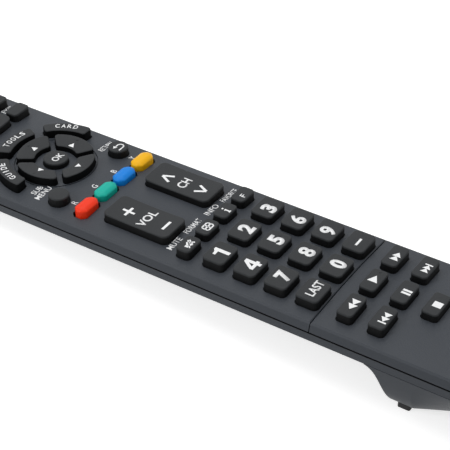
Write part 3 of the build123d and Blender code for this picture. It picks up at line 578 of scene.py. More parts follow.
@dataclass(frozen=True)
class Finish:
    """A moulded, printed or metal surface: its tone, its grain and how it takes the light."""

    name: str
    tint: Tint
    roughness: float = 0.5
    grain: float = 2200
    relief: float = 0.00002
    drift: float = 0.12
    spread: float = 0.12
    metallic: float = 0.0
    specular: float = 0.5
    coat: float = 0.0
    coat_roughness: float = 0.2
    transmission: float = 0.0
    # A second colour under a height: bare rubber under the key paint, or the case colour under the painted shade of the
    # parting gap
    under: Tint | None = None
    paint_edge: float = 0.0
    paint_fade: float = 0.08 * MM

    def make(self, grain: bpy.types.NodeTree, paint_edge: bpy.types.NodeTree) -> bpy.types.Material:
        """Builds the material.

        Args:
            grain: The shared moulded grain.
            paint_edge: The shared edge group, for the key paint and for the painted shade of the parting gap.

        Returns:
            The material, with the grain feeding its colour, roughness and bump.
        """
        material = bpy.data.materials.new(self.name)
        material.use_nodes = True
        wiring = Wiring(material.node_tree)
        colour = self.tint.linear()
        if self.under:
            colour = wiring.add("Group", {
                "Paint": colour, "Under": self.under.linear(), "Edge": self.paint_edge, "Fade": self.paint_fade,
            }, node_tree=paint_edge)["Colour"]
        skin = wiring.add("Group", {
            "Colour": colour, "Size": self.grain, "Drift": self.drift,
            "Roughness": self.roughness, "Spread": self.spread,
        }, node_tree=grain)
        bump = wiring.add("Bump", {"Strength": 1, "Distance": self.relief, "Height": skin["Height"]})
        wiring.feed(wiring.tree.nodes["Principled BSDF"], {
            "Base Color": skin["Colour"], "Roughness": skin["Roughness"], "Normal": bump["Normal"],
            "Metallic": self.metallic, "Specular IOR Level": self.specular, "Coat Weight": self.coat,
            "Coat Roughness": self.coat_roughness, "Transmission Weight": self.transmission,
        })
        return material


CASE = Tint(64, 68, 74)
# Near-black painted shade for the parting gap between the faceplates and the lower case
PAINTED_GAP_SHADE = Tint(7, 7, 8)
PAINT = Tint(51, 53, 55)
RUBBER = Tint(5, 6, 7)
SMOOTH = 0.000005
CASE_PLASTIC = Finish("case_plastic", CASE, specular=0.2, roughness=0.4, relief=0.00003)
KEY_PAINT = Finish("key_paint", PAINT, specular=0.2, roughness=0.6, grain=2600)
PAINT_EDGES = {"block_paint": 23.62, "rocker_paint": 23.5, "round_paint": 23.45, "centre_paint": 23.0}
COLOURS = {
    "red": Tint(252, 56, 18), "green": Tint(14, 182, 164), "blue": Tint(10, 134, 230), "yellow": Tint(255, 190, 12),
}
FINISHES = (
    CASE_PLASTIC,
    # The lower case: above 17.02 mm its top band is painted near-black, a painted shade standing in for the shadow
    # inside the parting gap
    replace(CASE_PLASTIC, name="lower_plastic", tint=PAINTED_GAP_SHADE, under=CASE, paint_edge=17.02 * MM, paint_fade=0.02 * MM),
    KEY_PAINT,
    *(replace(KEY_PAINT, name=name, under=RUBBER, paint_edge=edge * MM) for name, edge in PAINT_EDGES.items()),
    *(
        Finish(f"{colour}_silicone", tint, roughness=0.42, specular=0.25, relief=SMOOTH, drift=0.06)
        for colour, tint in COLOURS.items()
    ),
    Finish("key_rubber", RUBBER, roughness=0.7, grain=3000, relief=0.00001, specular=0.08),
    Finish("print_white", Tint(253, 254, 255), roughness=0.45, relief=SMOOTH, drift=0.03),
    Finish("smoked_window", Tint(22, 8, 12), roughness=0.12, relief=0.000002, coat=0.6),
    Finish("clear_epoxy", Tint(196, 204, 220), roughness=0.1, relief=0.000002, transmission=0.8),
    Finish("board_laminate", Tint(34, 84, 52), roughness=0.4, grain=900),
    Finish("component_black", Tint(22, 22, 24), roughness=0.35),
    Finish("cell_wrap", Tint(24, 26, 30), roughness=0.3, relief=SMOOTH, coat=0.4),
    Finish("cell_band", Tint(176, 104, 52), roughness=0.3, relief=SMOOTH, coat=0.4, metallic=0.5),
    Finish("nickel", Tint(196, 194, 188), roughness=0.28, relief=0.000004, metallic=1),
    Finish("foot_rubber", Tint(18, 18, 19), roughness=0.7),
    Finish("screw_steel", Tint(150, 150, 152), roughness=0.35, relief=SMOOTH, metallic=1),
)


class Palette:
    """Every finish of the remote, built once and handed out by name."""

    def __init__(self) -> None:
        """Builds the shared groups and every material."""
        grain, paint_edge = grain_group(), paint_and_shade_edge_group()
        self.materials = {finish.name: finish.make(grain, paint_edge) for finish in FINISHES}

    def dress(self, piece: Piece, *names: str) -> None:
        """Gives a piece its finishes, replacing what it had.

        Args:
            piece: The piece to dress.
            names: One finish, or one for each material slot.
        """
        piece.data.materials.clear()
        for name in names:
            piece.data.materials.append(self.materials[name])

    def dress_node(self, node: str, name: str) -> None:
        """Gives every slot of a CAD node one finish."""
        for slot in frame["nodes"][node].material_slots:
            slot.material = self.materials[name]


# Keys


@dataclass(frozen=True)
class RingStretch:
    """A stretch of a ring with rounded corners: its middle on +X, its ends along radii."""

    inner: float
    outer: float
    stand_off: float
    half_angle: float
    radius: float
    corner_steps: int = 6
    arc_steps: int = 9
    shortest_side: float = 0.002 * MM

    def corner(self, reach: float) -> tuple[float, float, float]:
        """The middle of a corner's rounding, as the lower end sees it, and the angle that it lies at.

        Args:
            reach: How far it lies from the ring's middle.

        Returns:
            Its place along the lower end and beside it, and its angle from that end.
        """
        side = self.stand_off + self.radius
        along = math.sqrt(reach**2 - side**2)
        return along, side, math.atan2(side, along)

    def shared_angles(self) -> list[float]:
        """The angles from the lower end at which both arcs have a point, up to the middle."""
        start = max(self.corner(self.inner + self.radius)[2], self.corner(self.outer - self.radius)[2])
        return [start + (self.half_angle - start) * step / self.arc_steps for step in range(self.arc_steps + 1)]

    def cuts(self) -> list[float]:
        """The angles from +X at which the stretch is cut across."""
        lower = [angle - self.half_angle for angle in self.shared_angles()]
        return lower + [-angle for angle in lower[:-1]]

    def rounding(self, along: float, side: float, start: float, end: float) -> list[Point]:
        """The points of a corner's rounding between two angles."""
        turns = [start + (end - start) * step / self.corner_steps for step in range(self.corner_steps + 1)]
        return [(along + self.radius * math.cos(turn), side + self.radius * math.sin(turn)) for turn in turns]

    def outline(self) -> list[Point]:
        """The outline about the ring's middle.

        Returns:
            Its corners, counter-clockwise, with no two in one place.
        """
        shared = self.shared_angles()
        lower = [(self.inner * math.cos(angle), self.inner * math.sin(angle)) for angle in reversed(shared)]
        along, side, lean = self.corner(self.inner + self.radius)
        lower += self.rounding(along, side, lean - math.pi, -QUARTER)
        along, side, lean = self.corner(self.outer - self.radius)
        lower += self.rounding(along, side, -QUARTER, lean)
        lower += [(self.outer * math.cos(angle), self.outer * math.sin(angle)) for angle in shared]
        cosine, sine = math.cos(self.half_angle), -math.sin(self.half_angle)
        turned = [(cosine * x - sine * y, sine * x + cosine * y) for x, y in lower]
        points = turned + [(x, -y) for x, y in reversed(turned)][1:-1]
        before = points[-1:] + points[:-1]
        return [point for point, last in zip(points, before) if math.dist(point, last) > self.shortest_side]

    def placed(self, centre: Vector) -> list[Point]:
        """The outline about a point of the plan."""
        return [(centre.x + x, centre.y + y) for x, y in self.outline()]

    def grown(self, extra: float) -> "RingStretch":
        """The same stretch with its outline moved outwards."""
        return replace(
            self, inner=self.inner - extra, outer=self.outer + extra, stand_off=self.stand_off - extra,
            radius=self.radius + extra,
        )


@dataclass(frozen=True)
class Room:
    """The room that a key's cap may fill, and the height of its flange's upper face."""

    low: Vector
    high: Vector
    foot: float

    @property
    def centre(self) -> Vector:
        """The middle of its plan, at the height of nothing."""
        middle = (self.low + self.high) / 2
        return Vector((*middle.xy, 0))


@dataclass
class CapMaker:
    """Shapes key caps: rounded corners, a softened rim and a retaining flange."""

    palette: Palette
    soft_edge: float = 0.4 * MM
    soft_steps: int = 4
    corner_steps: int = 8
    flange_width: float = 0.5 * MM
    flange_height: float = 0.65 * MM
    bump_radius: float = 0.45 * MM
    bump_height: float = 0.1 * MM
    bump_soft: float = 0.09 * MM
    bump_sides: int = 20
    painted_slope: float = 0.2
    top_room: float = 0.1 * MM

    def room(self, node: str) -> Room:
        """The room of a key, its top lowered by what dots and prints take."""
        low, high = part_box(node)
        return Room(low, high - UP * self.top_room, low.z + self.flange_height)

    def soften_rim(self, piece: Piece) -> None:
        """Makes the flat top one face and rounds the edge round it.

        Args:
            piece: The cap.
        """
        with editing(piece):
            if pick(Element.FACES, faces_up) > 1:
                bpy.ops.mesh.dissolve_faces()
            self.soften_open_rim()

    def soften_open_rim(self) -> None:
        """Rounds the edge round the top of the open mesh."""
        pick(Element.EDGES, is_rim)
        bevel_edges(self.soft_edge, self.soft_steps)

    def add_flange(self, piece: Piece) -> None:
        """Widens the foot of a cap into the flange that keeps it in the case.

        Args:
            piece: The cap, standing on its flange's upper face.
        """
        low, high = (Vector(map(end, zip(*(vertex.co for vertex in piece.data.vertices)))) for end in (min, max))
        size = high - low
        middle = (low + high) / 2
        scale = (1 + 2 * self.flange_width / size.x, 1 + 2 * self.flange_width / size.y, 1)
        with editing(piece):
            pick(Element.FACES, lambda face: face.normal.z < -LEVEL)
            extrude_by(0)
            bpy.ops.transform.resize(value=scale, center_override=(middle.x, middle.y, low.z))
            extrude_by(-self.flange_height)

    def crown(self, piece: Piece, finish: str) -> None:
        """Gives a cap its rim, its flange and its finish.

        Args:
            piece: The cap, standing on its flange's upper face.
            finish: The name of its finish.
        """
        self.soften_rim(piece)
        self.add_flange(piece)
        self.palette.dress(piece, finish)

    def add_bump(self, piece: Piece, place: Vector) -> Piece:
        """Adds the small raised dot that a finger feels for.

        Args:
            piece: The cap that carries the dot.
            place: The point on its top under the dot.

        Returns:
            The cap with its dot.
        """
        foot = place - UP * self.bump_height
        dot = add_disc(f"{piece.name}_dot", foot, self.bump_radius, 2 * self.bump_height, self.bump_sides)
        with editing(dot):
            pick(Element.EDGES, is_rim)
            bevel_edges(self.bump_soft, 3)
        self.palette.dress(dot, "key_paint")
        return join_pieces([piece, dot])

    def paint_top(self, piece: Piece) -> None:
        """Paints the top and the softened rim of a cap and leaves its walls in bare rubber.

        Args:
            piece: The cap.
        """
        self.palette.dress(piece, "key_paint", "key_rubber")
        with editing(piece):
            pick(Element.FACES, lambda face: face.normal.z < self.painted_slope)
            bpy.context.object.active_material_index = 1
            bpy.ops.object.material_slot_assign()

    def rounded_block(self, name: str, room: Room, width: float, length: float, radius: float, foot: float) -> Piece:
        """Shapes a cap with a rounded rectangle for its plan.

        Args:
            name: The cap's name.
            room: The room that it fills.
            width: Its size along X.
            length: Its size along Y.
            radius: Its corner radius.
            foot: The height of its foot.

        Returns:
            The cap, without rim or flange.
        """
        half = Vector((width / 2, length / 2, 0))
        block = add_block(name, room.centre + UP * foot - half, room.centre + UP * room.high.z + half)
        with editing(block):
            pick(Element.EDGES, is_upright)
            bevel_edges(radius, self.corner_steps)
        return block

    def ring_block(
        self, name: str, centre: Vector, ring: RingStretch, low: float, top: float, dish: float = 0
    ) -> Piece:
        """Shapes a cap over a stretch of a ring and softens its rim.

        Args:
            name: The piece's name.
            centre: The middle of the ring.
            ring: The stretch, with its middle on +X.
            low: The height of its foot.
            top: The height of its top at the outer edge.
            dish: How far the inner edge lies lower.

        Returns:
            The cap.
        """
        piece = outline_block(name, ring.placed(centre), low, top)
        middle = (low + top) / 2
        with editing(piece):
            for angle in ring.cuts():
                cut_across(centre, (-math.sin(angle), math.cos(angle), 0))
            mesh = bmesh.from_edit_mesh(piece.data)
            reaches = {round((vertex.co - centre).xy.length, 6) for vertex in mesh.verts if vertex.co.z > middle}
            for reach in sorted(reaches):
                pick(
                    Element.VERTS,
                    lambda vertex: vertex.co.z > middle and abs((vertex.co - centre).xy.length - reach) < NEAR,
                )
                shift(z=-dish * (ring.outer - reach) / (ring.outer - ring.inner))
            self.soften_open_rim()
        return piece


class KeyGroup(ABC):
    """Keys that are modelled together."""

    @abstractmethod
    def build(self, maker: CapMaker) -> None:
        """Models the keys and seats them.

        Args:
            maker: Shapes, paints and seats the caps.
        """


@dataclass
class BlockKeys(KeyGroup):
    """A group of equal block keys: one is modelled, the others are its copies."""

    nodes: tuple[str, ...]
    radius: float
    bumps: dict[str, float] = field(default_factory=dict)

    def build(self, maker: CapMaker) -> None:
        """Models the first key and copies it to the others' places.

        Args:
            maker: Shapes and seats the caps.
        """
        first = self.nodes[0]
        room = maker.room(first)
        width = room.high.x - room.low.x - 2 * maker.flange_width
        length = room.high.y - room.low.y - 2 * maker.flange_width
        master = maker.rounded_block(f"cap_{first}", room, width, length, self.radius, room.foot)
        maker.crown(master, "block_paint")
        for node, cap in spread(master, self.nodes).items():
            if node in self.bumps:
                cap = maker.add_bump(cap, maker.room(node).centre + Vector((self.bumps[node], 0, room.high.z)))
            seat(cap, node)


@dataclass
class RoundKeys(KeyGroup):
    """Round keys in one finish."""

    nodes: tuple[str, ...]
    finish: str
    sides: int = 96

    def build(self, maker: CapMaker) -> None:
        """Models each round key from a disc.

        Args:
            maker: Shapes and seats the caps.
        """
        for node in self.nodes:
            room = maker.room(node)
            radius = (room.high.x - room.low.x) / 2 - maker.flange_width
            cap = add_disc(f"cap_{node}", room.centre + UP * room.foot, radius, room.high.z - room.foot, self.sides)
            maker.crown(cap, self.finish)
            seat(cap, node)


@dataclass
class Rockers(KeyGroup):
    """The volume and channel rockers, dished along their length, each with its tilting pin."""

    nodes: tuple[str, str] = ("rocker_volume", "rocker_channel")
    radius: float = 2.0 * MM
    dish: float = 0.4 * MM
    rows: int = 12
    straight_share: float = 0.8
    pin_radius: float = 0.45 * MM
    pin_sides: int = 24

    def build(self, maker: CapMaker) -> None:
        """Models one rocker, dishes its top row by row and copies it.

        Args:
            maker: Shapes and seats the caps.
        """
        room = maker.room(self.nodes[0])
        centre = room.centre
        width, length = room.high.x - room.low.x, room.high.y - room.low.y
        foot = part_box("key_play")[0].z
        inside = width - 2 * maker.flange_width
        cap = maker.rounded_block(f"cap_{self.nodes[0]}", room, inside, length, self.radius, foot)
        with editing(cap):
            for place in cut_rows(cap, centre, 1, self.straight_share * length / 2, self.rows):
                pick(
                    Element.VERTS,
                    lambda vertex: abs(vertex.co.y - place) < SAME_ROW and vertex.co.z > room.high.z - 2 * self.dish,
                )
                shift(z=-self.dish * (1 - (2 * (place - centre.y) / length) ** 2))
            maker.soften_open_rim()
        cap = join_pieces([cap, self.make_pin(centre + UP * (room.low.z + self.pin_radius), width)])
        maker.palette.dress(cap, "rocker_paint")
        for node, piece in spread(cap, self.nodes).items():
            seat(piece, node)

    def make_pin(self, middle: Vector, length: float) -> Piece:
        """Makes the round pin across a rocker's foot, with softened ends.

        Args:
            middle: The pin's middle.
            length: Its length.

        Returns:
            The pin, lying along X.
        """
        pin = add_disc("rocker_pin", Vector((0, 0, -length / 2)), self.pin_radius, length, self.pin_sides)
        with editing(pin):
            pick(Element.EDGES, is_level)
            bevel_edges(self.pin_radius / 4, 2)
        return place_piece(pin, middle, (0, QUARTER, 0))


@dataclass
class ColourKeys(KeyGroup):
    """The four coloured keys: cut corners and a hipped, softened top."""

    colours: tuple[str, ...] = tuple(COLOURS)
    setback: float = 0.15 * MM
    cut: float = 1.6 * MM
    slope: float = 1.3 * MM
    rise: float = 0.75 * MM
    corner_soft: float = 0.45 * MM
    corner_steps: int = 4
    foot_margin: float = 0.1 * MM

    def build(self, maker: CapMaker) -> None:
        """Models one key and copies it in the other colours.

        Args:
            maker: Shapes and seats the caps.
        """
        nodes = [f"key_{colour}" for colour in self.colours]
        room = maker.room(nodes[0])
        half = (room.high - room.low) / 2 - Vector((self.setback, self.setback + maker.flange_width, 0))
        half.z = 0
        top = room.centre + UP * (room.high.z - self.rise)
        foot = room.low.z + self.foot_margin
        cap = add_block(f"cap_{nodes[0]}", room.centre - half + UP * room.low.z, top + half)
        with editing(cap):
            pick(Element.EDGES, is_upright)
            bevel_edges(self.cut, 1)
            pick(Element.FACES, faces_up)
            bpy.ops.mesh.inset(thickness=self.slope)
            shift(z=self.rise)
            pick(Element.EDGES, lambda edge: min(vertex.co.z for vertex in edge.verts) > foot)
            bevel_edges(self.corner_soft, self.corner_steps)
        for colour, node in zip(self.colours, nodes):
            move = middle_of(node) - middle_of(nodes[0])
            piece = cap if node == nodes[0] else copy_piece(cap, f"cap_{node}", move)
            maker.palette.dress(piece, f"{colour}_silicone")
            seat(piece, node)


@dataclass
class PadKeys(KeyGroup):
    """The ring of arrow keys and the arc keys outside it."""

    arrow: RingStretch = RingStretch(7.0 * MM, 12.9 * MM, 1.05 * MM, math.pi / 4, 1.2 * MM)
    arrow_dish: float = 0.85 * MM
    arrow_tab: float = 1.7 * MM
    arc: RingStretch = RingStretch(15.15 * MM, 19.6 * MM, 0, math.radians(25.75), 1.1 * MM)
    bump_reach: float = 11.5 * MM

    def build(self, maker: CapMaker) -> None:
        """Models one arrow key and one arc key, and turns their copies about the pad.

        Args:
            maker: Shapes and seats the caps.
        """
        middle = middle_of("key_ok")
        centre = Vector((*middle.xy, 0))
        arrow, arc = self.make_arrow(maker, centre), self.make_arc(maker, centre)
        half = self.arc.half_angle
        copies = (
            (arrow, "key_up", QUARTER), (arrow, "key_left", 2 * QUARTER), (arrow, "key_down", 3 * QUARTER),
            (arc, "key_arc_right", half), (arc, "key_arc_front", QUARTER), (arc, "key_arc_left", math.pi - half),
        )
        caps = [(arrow, "key_right")]
        caps += [(copy_piece(master, f"cap_{node}", Vector(), turn, centre), node) for master, node, turn in copies]
        bpy.data.objects.remove(arc)
        for cap, node in caps:
            seat(cap, node)

    def make_arrow(self, maker: CapMaker, centre: Vector) -> Piece:
        """Models the arrow key on +X: its top falls towards the middle, and a tab keeps it in.

        Args:
            maker: Shapes and paints the caps.
            centre: The pad's middle.

        Returns:
            The painted cap with its dot.
        """
        room = maker.room("key_right")
        top = maker.room("key_5").high.z
        cap = maker.ring_block("cap_key_right", centre, self.arrow, room.low.z, top, self.arrow_dish)
        maker.paint_top(cap)
        reach = self.arrow.outer + maker.flange_width
        half = (self.arrow.outer - self.arrow.inner) / 2
        tab = add_block(
            "arrow_tab", Vector((centre.x + reach - self.arrow_tab, centre.y - half, room.low.z)),
            Vector((centre.x + reach, centre.y + half, room.foot)),
        )
        with editing(tab):
            pick(Element.EDGES, is_rim)
            bevel_edges(maker.flange_height / 5, 2)
        maker.palette.dress(tab, "key_rubber")
        share = (self.arrow.outer - self.bump_reach) / (self.arrow.outer - self.arrow.inner)
        dot = Vector((centre.x + self.bump_reach, centre.y, top - share * self.arrow_dish))
        return maker.add_bump(join_pieces([cap, tab]), dot)

    def make_arc(self, maker: CapMaker, centre: Vector) -> Piece:
        """Models an arc key with its middle on +X, and the flange at its foot.

        Args:
            maker: Shapes and paints the caps.
            centre: The pad's middle.

        Returns:
            The painted cap.
        """
        room = maker.room("key_arc_right")
        cap = maker.ring_block("arc_master", centre, self.arc, room.foot, room.high.z)
        maker.paint_top(cap)
        flange = outline_block("arc_flange", self.arc.grown(maker.flange_width).placed(centre), room.low.z, room.foot)
        maker.palette.dress(flange, "key_rubber")
        return join_pieces([cap, flange])


@dataclass
class CentreKey(KeyGroup):
    """The wide key between the four at the front end, bulging fore and aft."""

    node: str = "key_centre"
    bulge: float = 0.6 * MM
    radius: float = 2.2 * MM
    corner_share: float = 1.15
    columns: int = 10

    def build(self, maker: CapMaker) -> None:
        """Models the key column by column.

        Args:
            maker: Shapes and seats the cap.
        """
        room = maker.room(self.node)
        centre = room.centre
        length = room.high.y - room.low.y - 2 * maker.flange_width - 2 * self.bulge
        half_width = (room.high.x - room.low.x) / 2
        half = Vector((half_width, length / 2, 0))
        cap = add_block(f"cap_{self.node}", centre - half + UP * room.foot, centre + half + UP * room.high.z)
        with editing(cap):
            for place in cut_rows(cap, centre, 0, half_width - self.radius * self.corner_share, self.columns):
                swell = self.bulge * (1 - ((place - centre.x) / half_width) ** 2)
                for side in (-1, 1):
                    pick(
                        Element.VERTS,
                        lambda vertex: abs(vertex.co.x - place) < SAME_ROW and (vertex.co.y - centre.y) * side > 0,
                    )
                    shift(y=side * swell)
            pick(Element.EDGES, is_upright)
            bevel_edges(self.radius, maker.corner_steps)
        maker.crown(cap, "block_paint")
        seat(cap, self.node)


# Marks, all measured in millimetres from the middle of a key


class Shape(ABC):
    """Something flat that is printed."""

    @abstractmethod
    def draw(self, origin: Vector) -> list[Piece]:
        """Makes the shape.

        Args:
            origin: The point that it is placed from.

        Returns:
            Its flat meshes.
        """


@dataclass(frozen=True)
class Word(Shape):
    """A word of an exact size."""

    text: str
    width: float
    height: float
    x: float = 0
    y: float = 0
    weight: Weight = Weight.LIGHT

    def draw(self, origin: Vector) -> list[Piece]:
        """Makes the word from a text.

        Args:
            origin: The point that it is placed from.

        Returns:
            One flat mesh.
        """
        word = add_piece(bpy.ops.object.text_add, "word")
        word.data.body = self.text
        word.data.offset = self.weight.value
        word.data.resolution_u = LETTER_STEPS
        word.data.fill_mode = "FRONT"
        focus(word)
        bpy.ops.object.convert(target="MESH")
        word = bpy.context.object
        bpy.ops.object.origin_set(type="ORIGIN_GEOMETRY", center="BOUNDS")
        bpy.context.view_layer.update()
        word.scale = (self.width * MM / word.dimensions.x, self.height * MM / word.dimensions.y, 1)
        word.location = (origin.x + self.x * MM, origin.y + self.y * MM, 0)
        bake_place(word)
        with editing(word):
            bpy.ops.mesh.select_all(action="SELECT")
            bpy.ops.mesh.remove_doubles(threshold=NEAR / 10)
        return [word]


@dataclass(frozen=True)
class ArcWord(Shape):
    """A word along an arc: the angle of its middle in degrees, its reach and the step between letters."""

    text: str
    middle: float
    reach: float
    step: float = 2.1
    width: float = 1.55
    height: float = 2.1

    def draw(self, origin: Vector) -> list[Piece]:
        """Makes the word letter by letter.

        Args:
            origin: The arc's middle.

        Returns:
            One flat mesh for each letter.
        """
        letters = []
        reach = self.reach * MM
        for index, letter in enumerate(self.text):
            turn = math.radians(self.middle) - (index - (len(self.text) - 1) / 2) * self.step / self.reach
            width = self.width / 3 if letter == "I" else self.width
            flat, = Word(letter, width, self.height, weight=Weight.MEDIUM).draw(Vector())
            place = (origin.x + reach * math.cos(turn), origin.y + reach * math.sin(turn), 0)
            letters.append(place_piece(flat, place, (0, 0, turn - QUARTER)))
        return letters


@dataclass(frozen=True)
class Area(Shape):
    """A filled area, with its corners counter-clockwise."""

    points: tuple[Point, ...]

    def draw(self, origin: Vector) -> list[Piece]:
        """Makes the area as one flat mesh."""
        return [flat_outline([(origin.x + x * MM, origin.y + y * MM) for x, y in self.points])]


def triangle(x: float, y: float, width: float, height: float, turn: int = 0) -> Area:
    """A triangle that points along +X, turned by quarter turns.

    Args:
        x: Its middle along X.
        y: Its middle along Y.
        width: Its size from base to tip.
        height: The length of its base.
        turn: How many quarter turns it is turned by.

    Returns:
        The area.
    """
    points = [(-width / 2, -height / 2), (width / 2, 0), (-width / 2, height / 2)]
    for _ in range(turn):
        points = [(-b, a) for a, b in points]
    return Area(tuple((x + a, y + b) for a, b in points))


@dataclass(frozen=True)
class Stroke(Shape):
    """Straight strokes of one width that join points."""

    width: float
    points: tuple[Point, ...]

    def draw(self, origin: Vector) -> list[Piece]:
        """Makes the strokes.

        Args:
            origin: The point that they are placed from.

        Returns:
            One flat mesh for each run.
        """
        placed = [Vector((origin.x + x * MM, origin.y + y * MM)) for x, y in self.points]
        flats = []
        for start, end in zip(placed, placed[1:]):
            along = (end - start).normalized() * self.width * MM / 2
            side = Vector((-along.y, along.x))
            corners = (start - side, end - side, end + side, start + side)
            flats.append(flat_outline([tuple(corner) for corner in corners]))
        return flats


def strokes(*runs: tuple[float, float, float, float, float]) -> tuple[Stroke, ...]:
    """Single strokes, each given by its width and the places of its two ends."""
    return tuple(Stroke(width, ((x1, y1), (x2, y2))) for width, x1, y1, x2, y2 in runs)


HOOK_TURNS = tuple(math.pi * step / 8 for step in range(9))
HOOK = tuple((0.4 + 1.1 * math.sin(turn), -0.6 - 1.1 * math.cos(turn)) for turn in HOOK_TURNS)
POWER_TURNS = tuple(math.radians(130 + 28 * step) for step in range(11))
POWER_RING = tuple((1.15 * math.cos(turn), 1.15 * math.sin(turn) - 0.15) for turn in POWER_TURNS)

LETTERS = (
    ("2", 3.7, 5.3, 0.43, -0.4, Weight.HEAVY), ("3", 3.4, 5.3, -0.6, -0.75, Weight.HEAVY),
    ("5", 3.4, 5.3, 0.6, -0.25, Weight.HEAVY), ("6", 3.5, 5.4, -0.65, -0.5, Weight.BOLD),
    ("7", 3.7, 5.3, 0.6, -0.2, Weight.HEAVY), ("8", 3.6, 5.4, 0.5, -0.25, Weight.BOLD),
    ("9", 3.4, 5.4, -0.6, -0.45, Weight.BOLD), ("0", 3.4, 5.4, 0.5, -0.25, Weight.HEAVY),
    ("LAST", 7.2, 3.0, 0.65, -0.15, Weight.MEDIUM), ("OK", 4.7, 2.5, 0.3, -0.55, Weight.MEDIUM),
)
WORDS = {
    **{f"key_{letters[0].lower()}": (Word(*letters),) for letters in LETTERS},
    "key_favorite": (Word("F", 1.3, 2.0, -0.9, -0.75, Weight.MEDIUM),),
    "key_1": (Area((
        (-0.05, -2.95), (1.3, -2.95), (1.3, 2.5), (0.35, 2.5), (-0.25, 1.95), (-0.95, 1.7), (-1.85, 1.6),
        (-1.85, 0.7), (-0.05, 0.8),
    )),),
    "key_4": (
        Area(((-2.0, -0.75), (-0.75, -0.75), (0.5, 0.95), (0.5, 2.5), (0.3, 2.5))),
        *strokes((1.1, -2.0, -1.3, 0.5, -1.3), (1.1, 1.7, -1.3, 2.35, -1.3), (1.2, 1.1, -2.9, 1.1, 2.5)),
    ),
}
LABELS = (
    ("key_mute", Word("MUTE", 6.2, 2.1, 0.8, 5.75)),
    ("key_format", Word("FORMAT", 8.2, 2.1, 0.67, 5.75)),
    ("key_info", Word("INFO", 6.3, 2.1, 0.73, 5.5)),
    ("key_favorite", Word("FAVORITE", 8.5, 2.1, 0.5, 5.35)),
    ("key_red", Word("R", 1.5, 2.1, 0.74, 5.35)),
    ("key_green", Word("G", 1.6, 2.1, 0.98, 5.15)),
    ("key_blue", Word("B", 1.5, 2.1, 1.12, 4.95)),
    ("key_yellow", Word("Y", 1.7, 2.1, 1.16, 4.85)),
    ("key_sub_menu", Word("SUB", 4.5, 2.1, 0.55, 9.4)),
    ("key_sub_menu", Word("MENU", 7.0, 2.1, 0.45, 6.8)),
    ("key_return", Word("RETURN", 6.7, 2.1, 1.0, 5.9)),
    ("key_exit", Word("EXIT", 5.1, 2.2, 1.3, 5.6)),
    ("key_menu", Word("MENU", 6.6, 2.2, -0.6, 5.6)),
    ("key_input", Word("INPUT", 6.6, 2.2, 0.3, 5.4)),
)
TRANSPORT_SIGNS = {
    "key_play": (triangle(0.25, 0, 3.1, 3.2),),
    "key_rewind": tuple(triangle(x, -0.4, 2.4, 2.9, 2) for x in (-1.05, 1.2)),
    "key_fast_forward": tuple(triangle(x, -0.55, 2.1, 2.8) for x in (-1.25, 0.6)),
    "key_previous": (
        *(triangle(x, -0.8, 2.0, 2.6, 2) for x in (-0.95, 1.0)), *strokes((0.55, -2.35, -2.1, -2.35, 0.5)),
    ),
    "key_next": (*(triangle(x, -0.6, 1.8, 2.5) for x in (-1.65, 0.0)), *strokes((0.5, 1.15, -1.85, 1.15, 0.65))),
    "key_pause": strokes((0.85, -0.8, -2.15, -0.8, 0.75), (0.85, 0.5, -2.15, 0.5, 0.75)),
    "key_stop": strokes((2.5, -0.4, -2.0, -0.4, 0.75)),
    "key_dash": strokes((0.75, -2.35, -0.2, 1.2, -0.2)),
}
PAD_SIGNS = {
    "key_right": (triangle(8.6, -0.2, 1.85, 2.15),),
    "key_up": (triangle(0, 9.2, 1.85, 2.15, 1),),
    "key_left": (triangle(-8.65, -0.2, 1.85, 2.15, 2),),
    "key_down": (triangle(0, -9.5, 1.85, 2.15, 3),),
}
OTHER_SIGNS = {
    "key_return": (Stroke(0.45, ((-1.9, -1.7), *HOOK, (-1.0, 0.5))), triangle(-1.45, 0.5, 1.3, 1.6, 2)),
    "rocker_volume": (
        Word("VOL", 8.5, 3.1, -0.4, -1.35, Weight.MEDIUM),
        *strokes((0.85, -2.8, 5.5, 1.6, 5.5), (0.85, -0.6, 3.3, -0.6, 7.7), (0.9, -2.55, -8.5, 1.9, -8.5)),
    ),
    "rocker_channel": (
        Word("CH", 5.2, 3.3, -0.55, -0.35, Weight.MEDIUM),
        Stroke(0.85, ((-2.8, 4.2), (-1.05, 7.7), (0.7, 4.2))),
        Stroke(0.85, ((-2.6, -5.4), (-0.75, -8.9), (1.1, -5.4))),
    ),
    "key_mute": (
        *strokes((1.2, -2.0, -0.35, -1.1, -0.35)), Area(((-1.2, -0.75), (0.1, -1.7), (0.1, 1.0), (-1.2, 0.05))),
        *strokes((0.45, 0.2, -1.3, 1.6, 0.7), (0.45, 0.2, 0.6, 1.5, -1.3), (0.4, -1.8, -1.6, 1.2, 1.0)),
    ),
    "key_format": strokes(
        (0.5, -1.3, -1.5, 1.2, -1.5), (0.5, -1.3, 1.0, 1.2, 1.0), (0.5, -1.65, -1.15, -1.65, 0.65),
        (0.5, 1.6, -1.15, 1.6, 0.65), (0.5, -0.03, -1.5, -0.03, 1.0), (0.55, -1.6, -0.25, 1.6, -0.25),
        (0.4, -1.7, 0.6, -1.25, 1.05), (0.4, 1.2, 1.05, 1.65, 0.6), (0.4, -1.7, -1.1, -1.25, -1.55),
        (0.4, 1.2, -1.55, 1.65, -1.1),
    ),
    "key_info": strokes(
        (0.6, 0, -1.6, 0, 0.1), (0.62, 0, 0.7, 0, 1.25), (0.4, -0.55, -0.1, -0.3, -0.1),
        (0.4, -0.55, -1.8, 0.55, -1.8),
    ),
    "key_power": (
        Stroke(0.4, POWER_RING), *strokes((0.4, 0, 0.1, 0, 1.45)),
    ),
}
